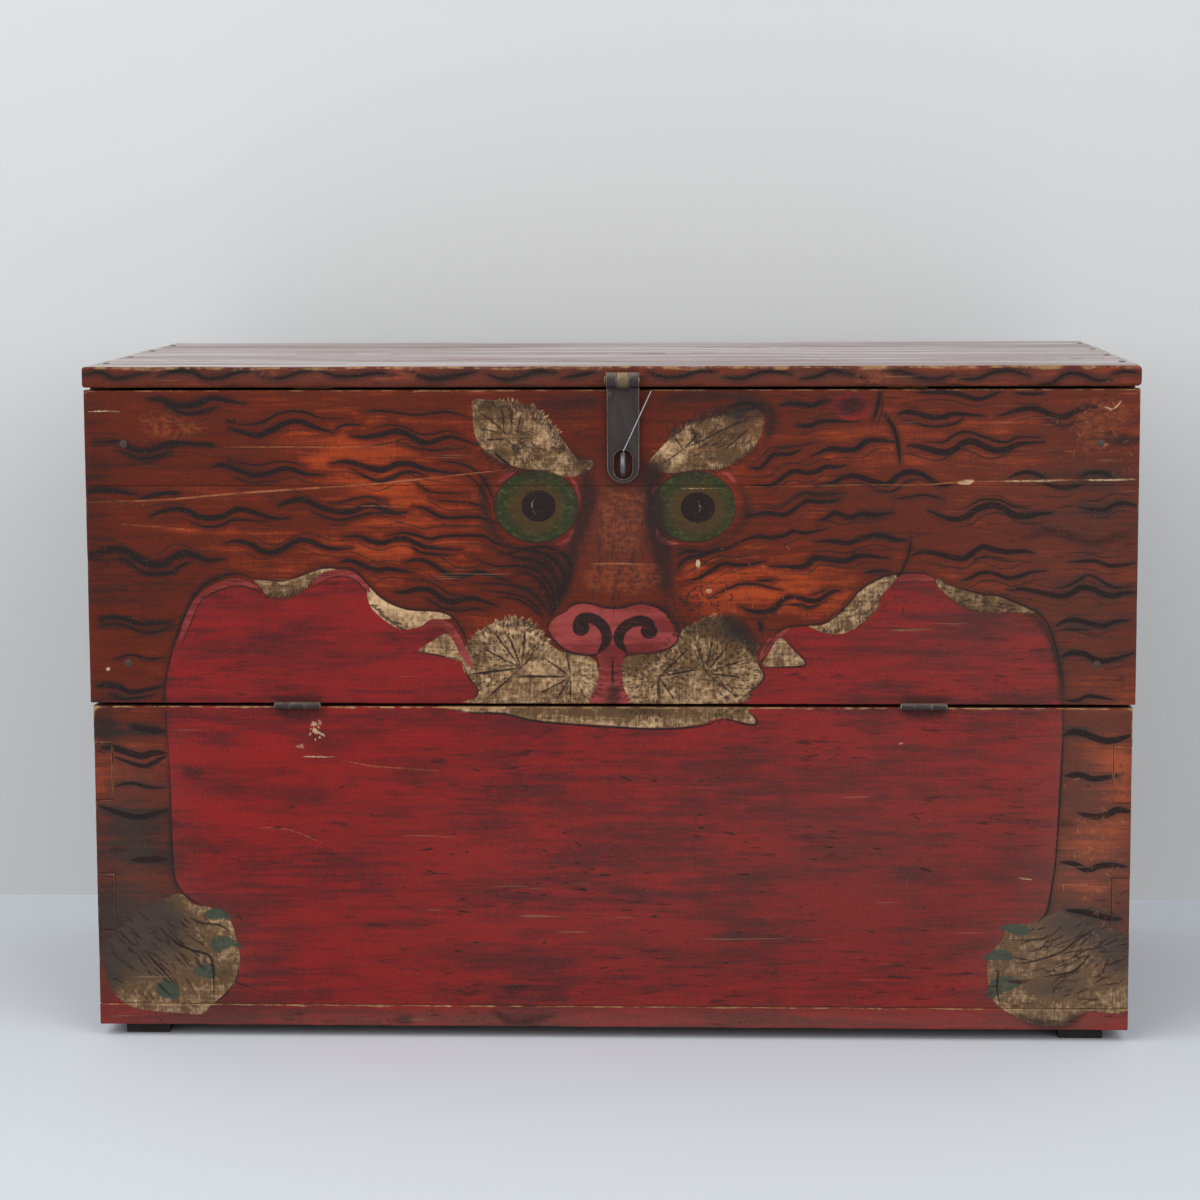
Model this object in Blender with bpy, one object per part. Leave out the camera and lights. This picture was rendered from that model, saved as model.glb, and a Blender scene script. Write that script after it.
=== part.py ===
"""Painted trunk with a drop front.

Metres, +Z up. The trunk faces -Y and its length runs along X. The origin lies on the floor, under the middle
of its outline. The top is fixed, the upper half of the front is a flap on two butt hinges, and a hasp on the
top's front edge closes over a staple in the flap.
"""

import math

import bmesh
import bpy
from mathutils import Vector

# Carcass boards
BODY_WIDTH = 1.054
BODY_DEPTH = 0.530
SIDE_THICKNESS = 0.018
FRONT_THICKNESS = 0.020
BACK_THICKNESS = 0.018
BOTTOM_THICKNESS = 0.022
TOP_THICKNESS = 0.021
LOWER_FRONT_HEIGHT = 0.310
FLAP_HEIGHT = 0.318
FLAP_UPPER_HEIGHT = 0.096
FLAP_LAP = 0.0025

# Gaps between boards
FIT = 0.0003
TOP_GAP = 0.003
FLAP_CLEARANCE = 0.0006
CUT_MARGIN = 0.002

# Top planks, from front to back, and how far the ends of each stop short of the longest
TOP_PLANKS = ("front", "mid_front", "mid_back", "back")
TOP_END_SETBACKS = (0.0, 0.003, 0.0015, 0.004)
TOP_OVERHANG = 0.003
TOP_ROUNDING = 0.004
ROUNDING_STEPS = 4
SHARP_ANGLE = math.radians(40.0)

# Stopped tongues between boards
TONGUE_THICKNESS = 0.006
TONGUE_HEIGHT = 0.006
TONGUE_END = 0.030
TONGUE_ROOT = 0.002

# Finger joints at the corners
FINGERS = 2
FINGER_HEIGHT = 0.058
FINGER_START = 0.1065
FINGER_PITCH = 0.1355

# Battens let into the top's underside with a sliding dovetail
TOP_BATTEN_OFFSET = 0.300
TOP_BATTEN_WIDTH = 0.040
TOP_BATTEN_DROP = 0.018
TOP_BATTEN_END_GAP = 0.004
DOVETAIL_NECK = 0.028
DOVETAIL_DEPTH = 0.005
DOVETAIL_FLARE = 0.003

# Battens inside the flap's ends
FLAP_BATTEN_WIDTH = 0.045
FLAP_BATTEN_THICKNESS = 0.018
FLAP_BATTEN_SIDE_GAP = 0.004
FLAP_BATTEN_END_GAP = 0.012

# Bottom planks, from front to back, and the skids under them
BOTTOM_PLANKS = ("front", "back")
SKID_HEIGHT = 0.012
SKID_WIDTH = 0.045
SKID_INSET = 0.024
SKID_SETBACK = 0.015

# Nails
NAIL_SIDES = 10
NAIL_HEAD_RADIUS = 0.004
NAIL_CROWN_RADIUS = 0.002
NAIL_HEAD_THICKNESS = 0.0015
NAIL_DOME = 0.0006
NAIL_RADIUS = 0.0018
NAIL_TIP_RADIUS = 0.0006
NAIL_TIP_LENGTH = 0.005
EDGE_HOLD = 0.028
FACE_HOLD = 0.013
SKID_NAIL_SINK = 0.001
FLAP_NAIL_TOP = 0.054
FLAP_NAIL_BOTTOM = 0.041
FLAP_NAIL_INSET = 0.0395

# Butt hinges of the flap
HINGE_OFFSET = 0.317
HINGE_LENGTH = 0.046
KNUCKLES = 3
KNUCKLE_RADIUS = 0.004
KNUCKLE_GAP = 0.0005
BARREL_CLEARANCE = 0.0005
HINGE_PIN_RADIUS = 0.002
HINGE_PIN_STICKOUT = 0.0008
LEAF_REACH = 0.015
LEAF_THICKNESS = 0.0012
LEAF_GAP = 0.0004
LEAF_END_EASE = 0.0004
BARREL_SIDES = 24

# Screws of the hinge leaves
SCREW_SPACING = 0.030
SCREW_HEAD_RADIUS = 0.0026
SCREW_RADIUS = 0.0014
SCREW_LENGTH = 0.014
SCREW_SIDES = 10

# Hasp on the top's front edge
HASP_OFFSET = 0.0147
HASP_WIDTH = 0.033
HASP_THICKNESS = 0.0025
HASP_REACH = 0.103
HASP_DROP = 0.014
HASP_KNUCKLE_RADIUS = 0.008
HASP_CENTRE_KNUCKLE = 0.011
HASP_CLEARANCE = 0.0005
HASP_TANGENT_SET = 0.0004
HASP_END_STEPS = 12
SLOT_WIDTH = 0.019
SLOT_HEIGHT = 0.030
SLOT_END = 0.0035
HASP_PIN_RADIUS = 0.0025
HASP_PIN_HEAD_RADIUS = 0.0045
HASP_PIN_CROWN_RADIUS = 0.0032
HASP_PIN_HEAD = 0.002
TANG_HEIGHT = 0.006
TANG_DEPTH = 0.025

# Staple in the flap
STAPLE_WIRE_RADIUS = 0.003
STAPLE_SPAN = 0.019
STAPLE_REACH = 0.020
STAPLE_STEPS = 12
CLENCH_LENGTH = 0.016
CLENCH_BEND = 0.004
CLENCH_STEPS = 4
STAPLE_HOLE_SIDES = 16
WIRE_BEVEL_STEPS = 2

# Bent keeper wire hooked in the hasp's slot
WIRE_RADIUS = 0.0006
WIRE_TAIL = 0.005
WIRE_RIGHT = 0.028
WIRE_TOP_DROP = 0.011

# Worked-out levels, from the floor up
HINGE_GAP = 2.0 * (LEAF_THICKNESS + FIT) + LEAF_GAP
BOTTOM_LOW = SKID_HEIGHT + FIT
BOTTOM_HIGH = BOTTOM_LOW + BOTTOM_THICKNESS
LOWER_LOW = BOTTOM_HIGH + FIT
LOWER_HIGH = LOWER_LOW + LOWER_FRONT_HEIGHT
HINGE_Z = LOWER_HIGH + HINGE_GAP / 2.0
FLAP_LOW = LOWER_HIGH + HINGE_GAP
FLAP_HIGH = FLAP_LOW + FLAP_HEIGHT
FLAP_SEAM = FLAP_HIGH - FLAP_UPPER_HEIGHT
UPPER_LOW = LOWER_HIGH + FIT
TOP_LOW = FLAP_HIGH + TOP_GAP
TOP_HIGH = TOP_LOW + TOP_THICKNESS
UPPER_HIGH = TOP_LOW - FIT

# Worked-out faces, from the front to the back
FRONT_REACH = max(STAPLE_REACH, TOP_OVERHANG + HASP_CLEARANCE + 2.0 * HASP_KNUCKLE_RADIUS)
FRONT = -(BODY_DEPTH - FRONT_REACH) / 2.0
FRONT_INSIDE = FRONT + FRONT_THICKNESS
BACK = FRONT + BODY_DEPTH
BACK_INSIDE = BACK - BACK_THICKNESS
TOP_FRONT = FRONT - TOP_OVERHANG
HINGE_Y = FRONT - BARREL_CLEARANCE - KNUCKLE_RADIUS
HASP_Y = TOP_FRONT - HASP_CLEARANCE - HASP_KNUCKLE_RADIUS
HASP_Z = TOP_HIGH - HASP_DROP
STRAP_BACK = HASP_Y + HASP_KNUCKLE_RADIUS - HASP_TANGENT_SET
STRAP_FRONT = STRAP_BACK - HASP_THICKNESS
SLOT_LOW = HASP_Z - HASP_REACH + SLOT_END
SLOT_HIGH = SLOT_LOW + SLOT_HEIGHT
STAPLE_Z = (SLOT_LOW + SLOT_HIGH) / 2.0

# Worked-out distances to each side of the middle
HALF_WIDTH = BODY_WIDTH / 2.0
FLAP_HALF = HALF_WIDTH + FLAP_LAP
SIDE_INSIDE = HALF_WIDTH - SIDE_THICKNESS
SIDE_MIDDLE = HALF_WIDTH - SIDE_THICKNESS / 2.0
FLAP_BATTEN_MIDDLE = SIDE_INSIDE - FLAP_BATTEN_SIDE_GAP - FLAP_BATTEN_WIDTH / 2.0
SKID_MIDDLE = HALF_WIDTH - SKID_INSET - SKID_WIDTH / 2.0

SIDES = {"left": -1, "right": 1}
UP = Vector((0.0, 0.0, 1.0))
DOWN = -UP
BACKWARD = Vector((0.0, 1.0, 0.0))
RIGHT = Vector((1.0, 0.0, 0.0))


def clear_scene():
    """Remove every object."""
    for item in list(bpy.data.objects):
        bpy.data.objects.remove(item, do_unlink=True)


def finish(name, colour, roughness, metallic=0.0):
    """Make a plain Principled material."""
    material = bpy.data.materials.new(name)
    material.use_nodes = True
    shader = material.node_tree.nodes["Principled BSDF"]
    shader.inputs["Base Color"].default_value = (*colour, 1.0)
    shader.inputs["Roughness"].default_value = roughness
    shader.inputs["Metallic"].default_value = metallic
    return material


def add_object(name, data, material):
    """Place new data in the scene under a node's name."""
    item = bpy.data.objects.new(name, data)
    item.data.materials.append(material)
    bpy.context.scene.collection.objects.link(item)
    return item


def add_solid(name, shape, material, smooth=False):
    """Turn a closed bmesh into an object with its faces pointing out."""
    bmesh.ops.recalc_face_normals(shape, faces=shape.faces[:])
    mesh = bpy.data.meshes.new(name)
    shape.to_mesh(mesh)
    shape.free()
    if smooth:
        mesh.shade_smooth()
        mesh.set_sharp_from_angle(angle=SHARP_ANGLE)
    return add_object(name, mesh, material)


def sweep(name, rings, material, smooth=False):
    """Close a solid over rings of points: the first and last ring are its end faces."""
    shape = bmesh.new()
    loops = [[shape.verts.new(point) for point in ring] for ring in rings]
    shape.faces.new(loops[0])
    shape.faces.new(loops[-1])
    for near, far in zip(loops, loops[1:]):
        for index in range(len(near)):
            following = (index + 1) % len(near)
            shape.faces.new((near[index], near[following], far[following], far[index]))
    return add_solid(name, shape, material, smooth)


def along_x(name, outline, left, right, material):
    """Sweep an outline of (y, z) points along X."""
    rings = [[(x, y, z) for y, z in outline] for x in (left, right)]
    return sweep(name, rings, material)


def along_y(name, outline, front, back, material):
    """Sweep an outline of (x, z) points along Y."""
    rings = [[(x, y, z) for x, z in outline] for y in (front, back)]
    return sweep(name, rings, material)


def box(name, low, high, material):
    """Make a block between two corners."""
    outline = [(low[0], low[2]), (high[0], low[2]), (high[0], high[2]), (low[0], high[2])]
    return along_y(name, outline, low[1], high[1], material)


def turned(name, profile, start, direction, sides, material):
    """Turn a profile of (radius, distance) points about an axis."""
    aim = UP.rotation_difference(direction)
    rings = []
    for radius, distance in profile:
        ring = []
        for index in range(sides):
            angle = math.tau * index / sides
            point = Vector((radius * math.cos(angle), radius * math.sin(angle), distance))
            ring.append(start + aim @ point)
        rings.append(ring)
    return sweep(name, rings, material, smooth=True)


def rod(name, radius, start, end, sides, material):
    """Make a plain round bar between two points."""
    run = end - start
    return turned(name, [(radius, 0.0), (radius, run.length)], start, run.normalized(), sides, material)


def bent_wire(name, points, radius, material):
    """Make a round wire through points, with closed ends."""
    curve = bpy.data.curves.new(name, "CURVE")
    curve.dimensions = "3D"
    curve.bevel_depth = radius
    curve.bevel_resolution = WIRE_BEVEL_STEPS
    curve.use_fill_caps = True
    line = curve.splines.new("POLY")
    line.points.add(len(points) - 1)
    for knot, point in zip(line.points, points):
        knot.co = (*point, 1.0)
    return add_object(name, curve, material)


def as_helper(item):
    """Mark a block that only shapes other pieces."""
    item.hide_render = True
    item.display_type = "WIRE"
    return item


def shape_with(target, tool, operation):
    """Join a helper block to a piece, or cut it out of it."""
    step = target.modifiers.new(tool.name, "BOOLEAN")
    step.operation = operation
    step.solver = "EXACT"
    step.object = as_helper(tool)


def join(target, tool):
    """Make a helper block part of a piece."""
    shape_with(target, tool, "UNION")


def cut(target, tool):
    """Cut a helper block out of a piece."""
    shape_with(target, tool, "DIFFERENCE")


def tongue(owner, receiver, low, high, material):
    """Give one board a tongue between two corners, and the next board the groove for it."""
    grown_low = [value - FIT for value in low]
    grown_high = [value + FIT for value in high]
    cut(receiver, box(f"{receiver.name}_groove", grown_low, grown_high, material))
    join(owner, box(f"{owner.name}_tongue", low, high, material))


def finger_spans(low, grow=0.0):
    """Heights of the fingers in a board's end, from its lower edge up."""
    spans = []
    for index in range(FINGERS):
        middle = low + FINGER_START + FINGER_PITCH * index
        spans.append((middle - FINGER_HEIGHT / 2.0 - grow, middle + FINGER_HEIGHT / 2.0 + grow))
    return spans


def stepped_edge(base, stepped, spans):
    """Points up a board's end that steps to another place over each span."""
    points = []
    for low, high in spans:
        points += [(base, low), (stepped, low), (stepped, high), (base, high)]
    return points


def board_outline(near, far, low, high, near_steps=(), far_steps=()):
    """Outline of a board whose two ends may carry fingers or notches."""
    rising = [(far, low), *far_steps, (far, high)]
    falling = [(near, low), *near_steps, (near, high)]
    return rising + falling[::-1]


def nail_profile(length, grow=0.0):
    """Profile of a nail from the crown of its head to its tip."""
    crown = NAIL_DOME + grow
    return [
        (NAIL_CROWN_RADIUS + grow, -crown),
        (NAIL_HEAD_RADIUS + grow, -grow),
        (NAIL_HEAD_RADIUS + grow, NAIL_HEAD_THICKNESS + grow),
        (NAIL_RADIUS + grow, NAIL_HEAD_THICKNESS + grow),
        (NAIL_RADIUS + grow, length - NAIL_TIP_LENGTH),
        (NAIL_TIP_RADIUS + grow, length + grow),
    ]


def drive_nail(name, start, direction, length, boards, material):
    """Make a nail and its hole in each board that it passes through."""
    hole = turned(f"{name}_hole", nail_profile(length, FIT), start, direction, NAIL_SIDES, material)
    for board in boards:
        cut(board, hole)
    return turned(name, nail_profile(length), start, direction, NAIL_SIDES, material)


def screw_profile(grow=0.0):
    """Profile of a countersunk screw from the top of its head to its tip."""
    neck = LEAF_THICKNESS + FIT
    return [
        (SCREW_HEAD_RADIUS + grow, -grow),
        (SCREW_RADIUS + grow, neck),
        (SCREW_RADIUS + grow, SCREW_LENGTH - SCREW_RADIUS),
        (SCREW_RADIUS / 2.0 + grow, SCREW_LENGTH + grow),
    ]


def drive_screw(name, start, direction, pieces, material):
    """Make a countersunk screw and its hole in each piece that it holds."""
    hole = turned(f"{name}_hole", screw_profile(FIT), start, direction, SCREW_SIDES, material)
    for piece in pieces:
        cut(piece, hole)
    return turned(name, screw_profile(), start, direction, SCREW_SIDES, material)


def rounded_front_outline(front, back, low, high):
    """Outline of the top's front plank, with its two front edges rounded."""
    points = [(back, low), (back, high)]
    for corner, turn in ((high - TOP_ROUNDING, 90.0), (low + TOP_ROUNDING, 180.0)):
        for step in range(ROUNDING_STEPS + 1):
            angle = math.radians(turn + 90.0 * step / ROUNDING_STEPS)
            y = front + TOP_ROUNDING + TOP_ROUNDING * math.cos(angle)
            points.append((y, corner + TOP_ROUNDING * math.sin(angle)))
    return points


def plank_edges(front, back, count):
    """Front and back edges of planks that fill a depth, with a fitting gap between them."""
    pitch = (back - front) / count
    edges = []
    for index in range(count):
        near = front + pitch * index + (FIT if index else 0.0)
        edges.append((near, front + pitch * (index + 1)))
    return edges


def tongue_band(low, high):
    """Lower and upper face of a tongue in the middle of a board's thickness."""
    middle = (low + high) / 2.0
    return middle - TONGUE_THICKNESS / 2.0, middle + TONGUE_THICKNESS / 2.0


def build_side_boards(wood):
    """The two boards of each side, with fingers for the lower front and the back."""
    lower_spans = finger_spans(LOWER_LOW)
    upper_spans = finger_spans(UPPER_LOW)
    lower_front = FRONT_INSIDE + FIT
    upper_front = FRONT_INSIDE + FLAP_CLEARANCE
    back = BACK_INSIDE - FIT
    boards = {}
    for side, sign in SIDES.items():
        inside, outside = sorted((sign * SIDE_INSIDE, sign * HALF_WIDTH))
        lower_outline = board_outline(
            lower_front, back, LOWER_LOW, LOWER_HIGH,
            stepped_edge(lower_front, FRONT, lower_spans), stepped_edge(back, BACK, lower_spans),
        )
        upper_outline = board_outline(
            upper_front, back, UPPER_LOW, UPPER_HIGH, (), stepped_edge(back, BACK, upper_spans),
        )
        lower = along_x(f"side_{side}_lower", lower_outline, inside, outside, wood)
        upper = along_x(f"side_{side}_upper", upper_outline, inside, outside, wood)
        near, far = tongue_band(inside, outside)
        tongue(
            lower, upper,
            (near, upper_front + TONGUE_END, LOWER_HIGH - TONGUE_ROOT),
            (far, back - TONGUE_END, LOWER_HIGH + TONGUE_HEIGHT), wood,
        )
        boards[side] = {"lower": lower, "upper": upper}
    return boards


def notched_ends(low):
    """Notches in a front or back board's two ends for the sides' fingers."""
    spans = finger_spans(low, FIT)
    depth = SIDE_INSIDE - FIT
    return stepped_edge(-HALF_WIDTH, -depth, spans), stepped_edge(HALF_WIDTH, depth, spans)


def build_front_panel(wood):
    """The lower half of the front, notched for the sides' fingers."""
    left, right = notched_ends(LOWER_LOW)
    outline = board_outline(-HALF_WIDTH, HALF_WIDTH, LOWER_LOW, LOWER_HIGH, left, right)
    return along_y("front_panel", outline, FRONT, FRONT_INSIDE, wood)


def build_back_boards(wood):
    """The back's two boards, notched for the sides' fingers and tongued together."""
    boards = {}
    for level, low, high in (("lower", LOWER_LOW, LOWER_HIGH), ("upper", UPPER_LOW, UPPER_HIGH)):
        left, right = notched_ends(low)
        outline = board_outline(-HALF_WIDTH, HALF_WIDTH, low, high, left, right)
        boards[level] = along_y(f"back_board_{level}", outline, BACK_INSIDE, BACK, wood)
    near, far = tongue_band(BACK_INSIDE, BACK)
    reach = SIDE_INSIDE - TONGUE_END
    tongue(
        boards["lower"], boards["upper"],
        (-reach, near, LOWER_HIGH - TONGUE_ROOT), (reach, far, LOWER_HIGH + TONGUE_HEIGHT), wood,
    )
    return boards


def build_bottom(sides, wood, raw_wood, iron):
    """Two bottom planks nailed up into the sides, and the skids nailed up into them."""
    edges = plank_edges(FRONT, BACK, len(BOTTOM_PLANKS))
    planks = []
    for name, (near, far) in zip(BOTTOM_PLANKS, edges):
        low = (-HALF_WIDTH, near, BOTTOM_LOW)
        planks.append(box(f"bottom_plank_{name}", low, (HALF_WIDTH, far, BOTTOM_HIGH), wood))
    seam = edges[0][1]
    low, high = tongue_band(BOTTOM_LOW, BOTTOM_HIGH)
    reach = HALF_WIDTH - TONGUE_END
    tongue(planks[0], planks[1], (-reach, seam - TONGUE_ROOT, low), (reach, seam + TONGUE_HEIGHT, high), wood)
    for side, sign in SIDES.items():
        inner, outer = sorted((sign * (SKID_MIDDLE - SKID_WIDTH / 2.0), sign * (SKID_MIDDLE + SKID_WIDTH / 2.0)))
        skid_low = (inner, FRONT + SKID_SETBACK, 0.0)
        skid = box(f"skid_{side}", skid_low, (outer, BACK - SKID_SETBACK, SKID_HEIGHT), raw_wood)
        for name, plank, (near, far) in zip(BOTTOM_PLANKS, planks, edges):
            middle = (near + far) / 2.0
            start = Vector((sign * SIDE_MIDDLE, middle, BOTTOM_LOW))
            held = (plank, sides[side]["lower"])
            drive_nail(f"bottom_nail_{side}_{name}", start, UP, BOTTOM_THICKNESS + EDGE_HOLD, held, iron)
            sunk = Vector((sign * SKID_MIDDLE, middle, NAIL_DOME + SKID_NAIL_SINK))
            length = SKID_HEIGHT + FACE_HOLD - SKID_NAIL_SINK
            drive_skid_nail(f"skid_nail_{side}_{name}", sunk, length, (skid, plank), iron)


def drive_skid_nail(name, start, length, pieces, iron):
    """A nail driven up through a skid, with its head sunk in a hole that is open below."""
    mouth_radius = NAIL_HEAD_RADIUS + FIT
    mouth_start = Vector((start.x, start.y, -CUT_MARGIN))
    mouth_end = Vector((start.x, start.y, start.z + NAIL_HEAD_THICKNESS / 2.0))
    cut(pieces[0], rod(f"{name}_mouth", mouth_radius, mouth_start, mouth_end, NAIL_SIDES, iron))
    drive_nail(name, start, UP, length, pieces, iron)


def build_top(sides, lacquer, raw_wood, iron):
    """Four tongued planks, two dovetailed battens under them, and a nail at each plank's ends."""
    edges = plank_edges(TOP_FRONT, BACK, len(TOP_PLANKS))
    planks = []
    for name, (near, far), setback in zip(TOP_PLANKS, edges, TOP_END_SETBACKS):
        reach = HALF_WIDTH + TOP_OVERHANG - setback
        if name == TOP_PLANKS[0]:
            outline = rounded_front_outline(near, far, TOP_LOW, TOP_HIGH)
        else:
            outline = board_outline(near, far, TOP_LOW, TOP_HIGH)
        planks.append(along_x(f"top_plank_{name}", outline, -reach, reach, lacquer))
    low, high = tongue_band(TOP_LOW, TOP_HIGH)
    reach = SIDE_INSIDE - TONGUE_END
    for plank, following, (near, far) in zip(planks, planks[1:], edges):
        tongue(plank, following, (-reach, far - TONGUE_ROOT, low), (reach, far + TONGUE_HEIGHT, high), lacquer)
    for side, sign in SIDES.items():
        build_top_batten(side, sign * TOP_BATTEN_OFFSET, planks, raw_wood)
        for number, (plank, (near, far)) in enumerate(zip(planks, edges), start=1):
            start = Vector((sign * SIDE_MIDDLE, (near + far) / 2.0, TOP_HIGH))
            held = (plank, sides[side]["upper"])
            drive_nail(f"top_nail_{side}_{number}", start, DOWN, TOP_THICKNESS + EDGE_HOLD, held, iron)
    return planks


def build_top_batten(side, middle, planks, wood):
    """A batten across the top's planks, with a dovetail in their undersides."""
    half = TOP_BATTEN_WIDTH / 2.0
    neck = DOVETAIL_NECK / 2.0
    shoulder = TOP_LOW - FIT
    crest = TOP_LOW + DOVETAIL_DEPTH
    half_outline = [
        (half, TOP_LOW - TOP_BATTEN_DROP), (half, shoulder), (neck, shoulder), (neck + DOVETAIL_FLARE, crest),
    ]
    groove_half = [
        (neck + FIT, TOP_LOW - CUT_MARGIN), (neck + FIT, shoulder), (neck + DOVETAIL_FLARE + FIT, crest + FIT),
    ]
    front = FRONT_INSIDE + TOP_BATTEN_END_GAP
    back = BACK_INSIDE - TOP_BATTEN_END_GAP
    along_y(f"top_batten_{side}", mirrored(half_outline, middle), front, back, wood)
    groove_outline = mirrored(groove_half, middle)
    groove = along_y(f"top_batten_{side}_groove", groove_outline, front - FIT, BACK + CUT_MARGIN, wood)
    for plank in planks:
        cut(plank, groove)


def mirrored(half_outline, middle):
    """Outline that repeats its right half on the left of a middle line."""
    right = [(middle + x, z) for x, z in half_outline]
    left = [(middle - x, z) for x, z in half_outline]
    return right + left[::-1]


def build_flap(paint, raw_wood, iron):
    """Two tongued boards, and two battens that the flap's nails hold inside its ends."""
    upper = box(
        "flap_upper_board", (-FLAP_HALF, FRONT, FLAP_SEAM), (FLAP_HALF, FRONT_INSIDE, FLAP_HIGH), paint,
    )
    lower = box(
        "flap_lower_board", (-FLAP_HALF, FRONT, FLAP_LOW), (FLAP_HALF, FRONT_INSIDE, FLAP_SEAM - FIT), paint,
    )
    near, far = tongue_band(FRONT, FRONT_INSIDE)
    reach = HALF_WIDTH - TONGUE_END
    tongue(upper, lower, (-reach, near, FLAP_SEAM - TONGUE_HEIGHT), (reach, far, FLAP_SEAM + TONGUE_ROOT), paint)
    pieces = [upper, lower]
    for side, sign in SIDES.items():
        middle = sign * FLAP_BATTEN_MIDDLE
        low = (middle - FLAP_BATTEN_WIDTH / 2.0, FRONT_INSIDE + FIT, FLAP_LOW + FLAP_BATTEN_END_GAP)
        high = (
            middle + FLAP_BATTEN_WIDTH / 2.0,
            FRONT_INSIDE + FIT + FLAP_BATTEN_THICKNESS,
            FLAP_HIGH - FLAP_BATTEN_END_GAP,
        )
        batten = box(f"flap_batten_{side}", low, high, raw_wood)
        pieces.append(batten)
        nail_levels = (
            ("upper", upper, FLAP_HIGH - FLAP_NAIL_TOP), ("lower", lower, FLAP_LOW + FLAP_NAIL_BOTTOM),
        )
        for level, board, height in nail_levels:
            start = Vector((sign * (FLAP_HALF - FLAP_NAIL_INSET), FRONT, height))
            length = FRONT_THICKNESS + FACE_HOLD
            nail = drive_nail(f"flap_nail_{side}_{level}", start, BACKWARD, length, (board, batten), iron)
            pieces.append(nail)
    return upper, lower, pieces


def knuckle_limits():
    """Ends of a hinge's centre knuckle and the inner ends of its outer ones, from the hinge's middle."""
    gaps = (KNUCKLES - 1) * KNUCKLE_GAP
    centre = (HINGE_LENGTH - gaps) / KNUCKLES / 2.0
    return centre, centre + KNUCKLE_GAP


def barrel(name, middle, left, right, radius, iron):
    """A stretch of a hinge's barrel."""
    start = Vector((middle + left, HINGE_Y, HINGE_Z))
    end = Vector((middle + right, HINGE_Y, HINGE_Z))
    return rod(name, radius, start, end, BARREL_SIDES, iron)


def hinge_leaf(name, middle, turn, knuckles, gaps, iron):
    """A leaf with its knuckles, cut clear of the other leaf's knuckles and bored for the pin.

    turn is +1 for the leaf above the joint and -1 for the leaf below it.
    """
    half = HINGE_LENGTH / 2.0
    near = HINGE_Z + turn * LEAF_GAP / 2.0
    low, high = sorted((near, near + turn * LEAF_THICKNESS))
    plate_half = half - LEAF_END_EASE
    leaf = box(name, (middle - plate_half, HINGE_Y, low), (middle + plate_half, FRONT + LEAF_REACH, high), iron)
    clear = KNUCKLE_RADIUS + KNUCKLE_GAP
    for number, (left, right) in enumerate(gaps):
        room_low = (middle + left, HINGE_Y - clear, HINGE_Z - clear)
        room_high = (middle + right, HINGE_Y + clear, HINGE_Z + clear)
        cut(leaf, box(f"{name}_room_{number}", room_low, room_high, iron))
    for number, (left, right) in enumerate(knuckles):
        join(leaf, barrel(f"{name}_knuckle_{number}", middle, left, right, KNUCKLE_RADIUS, iron))
    bore_end = half + CUT_MARGIN
    cut(leaf, barrel(f"{name}_bore", middle, -bore_end, bore_end, HINGE_PIN_RADIUS + FIT, iron))
    return leaf


def build_hinges(front_panel, flap_lower, iron):
    """Both butt hinges: two leaves, a pin and four screws each."""
    half = HINGE_LENGTH / 2.0
    centre, outer = knuckle_limits()
    flap_pieces = []
    for side, sign in SIDES.items():
        middle = sign * HINGE_OFFSET
        past = half + CUT_MARGIN
        ends = ((-half, -outer), (outer, half))
        room = outer + LEAF_END_EASE
        lower = hinge_leaf(f"hinge_{side}_lower_leaf", middle, -1.0, ends, ((-room, room),), iron)
        stem = centre - LEAF_END_EASE
        outer_rooms = ((-past, -stem), (stem, past))
        upper = hinge_leaf(f"hinge_{side}_upper_leaf", middle, 1.0, ((-centre, centre),), outer_rooms, iron)
        pin_end = half + HINGE_PIN_STICKOUT
        barrel(f"hinge_{side}_pin", middle, -pin_end, pin_end, HINGE_PIN_RADIUS, iron)
        flap_pieces.append(upper)
        screw_y = (FRONT + KNUCKLE_GAP + FRONT + LEAF_REACH) / 2.0
        for number, offset in enumerate((-SCREW_SPACING / 2.0, SCREW_SPACING / 2.0), start=1):
            low_start = Vector((middle + offset, screw_y, HINGE_Z - LEAF_GAP / 2.0))
            high_start = Vector((middle + offset, screw_y, HINGE_Z + LEAF_GAP / 2.0))
            drive_screw(f"hinge_{side}_lower_screw_{number}", low_start, DOWN, (lower, front_panel), iron)
            screw = drive_screw(f"hinge_{side}_upper_screw_{number}", high_start, UP, (upper, flap_lower), iron)
            flap_pieces.append(screw)
    return flap_pieces


def staple_points():
    """Middle line of the staple: a loop in front, two legs through the board, and their clenched ends."""
    half = STAPLE_SPAN / 2.0
    loop_y = FRONT - (STAPLE_REACH - STAPLE_WIRE_RADIUS - half)
    clench_y = FRONT_INSIDE + FIT + STAPLE_WIRE_RADIUS
    bend_y = clench_y - CLENCH_BEND
    bend_z = half + CLENCH_BEND
    upper_leg = [(clench_y, half + CLENCH_LENGTH)]
    for step in range(CLENCH_STEPS + 1):
        angle = math.radians(90.0) * step / CLENCH_STEPS
        upper_leg.append((bend_y + CLENCH_BEND * math.cos(angle), bend_z - CLENCH_BEND * math.sin(angle)))
    lower_leg = [(y, -z) for y, z in upper_leg]
    loop = []
    for step in range(STAPLE_STEPS + 1):
        angle = math.pi * step / STAPLE_STEPS
        loop.append((loop_y - half * math.sin(angle), half * math.cos(angle)))
    line = upper_leg + loop + lower_leg[::-1]
    return [(HASP_OFFSET, y, STAPLE_Z + z) for y, z in line]


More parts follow.
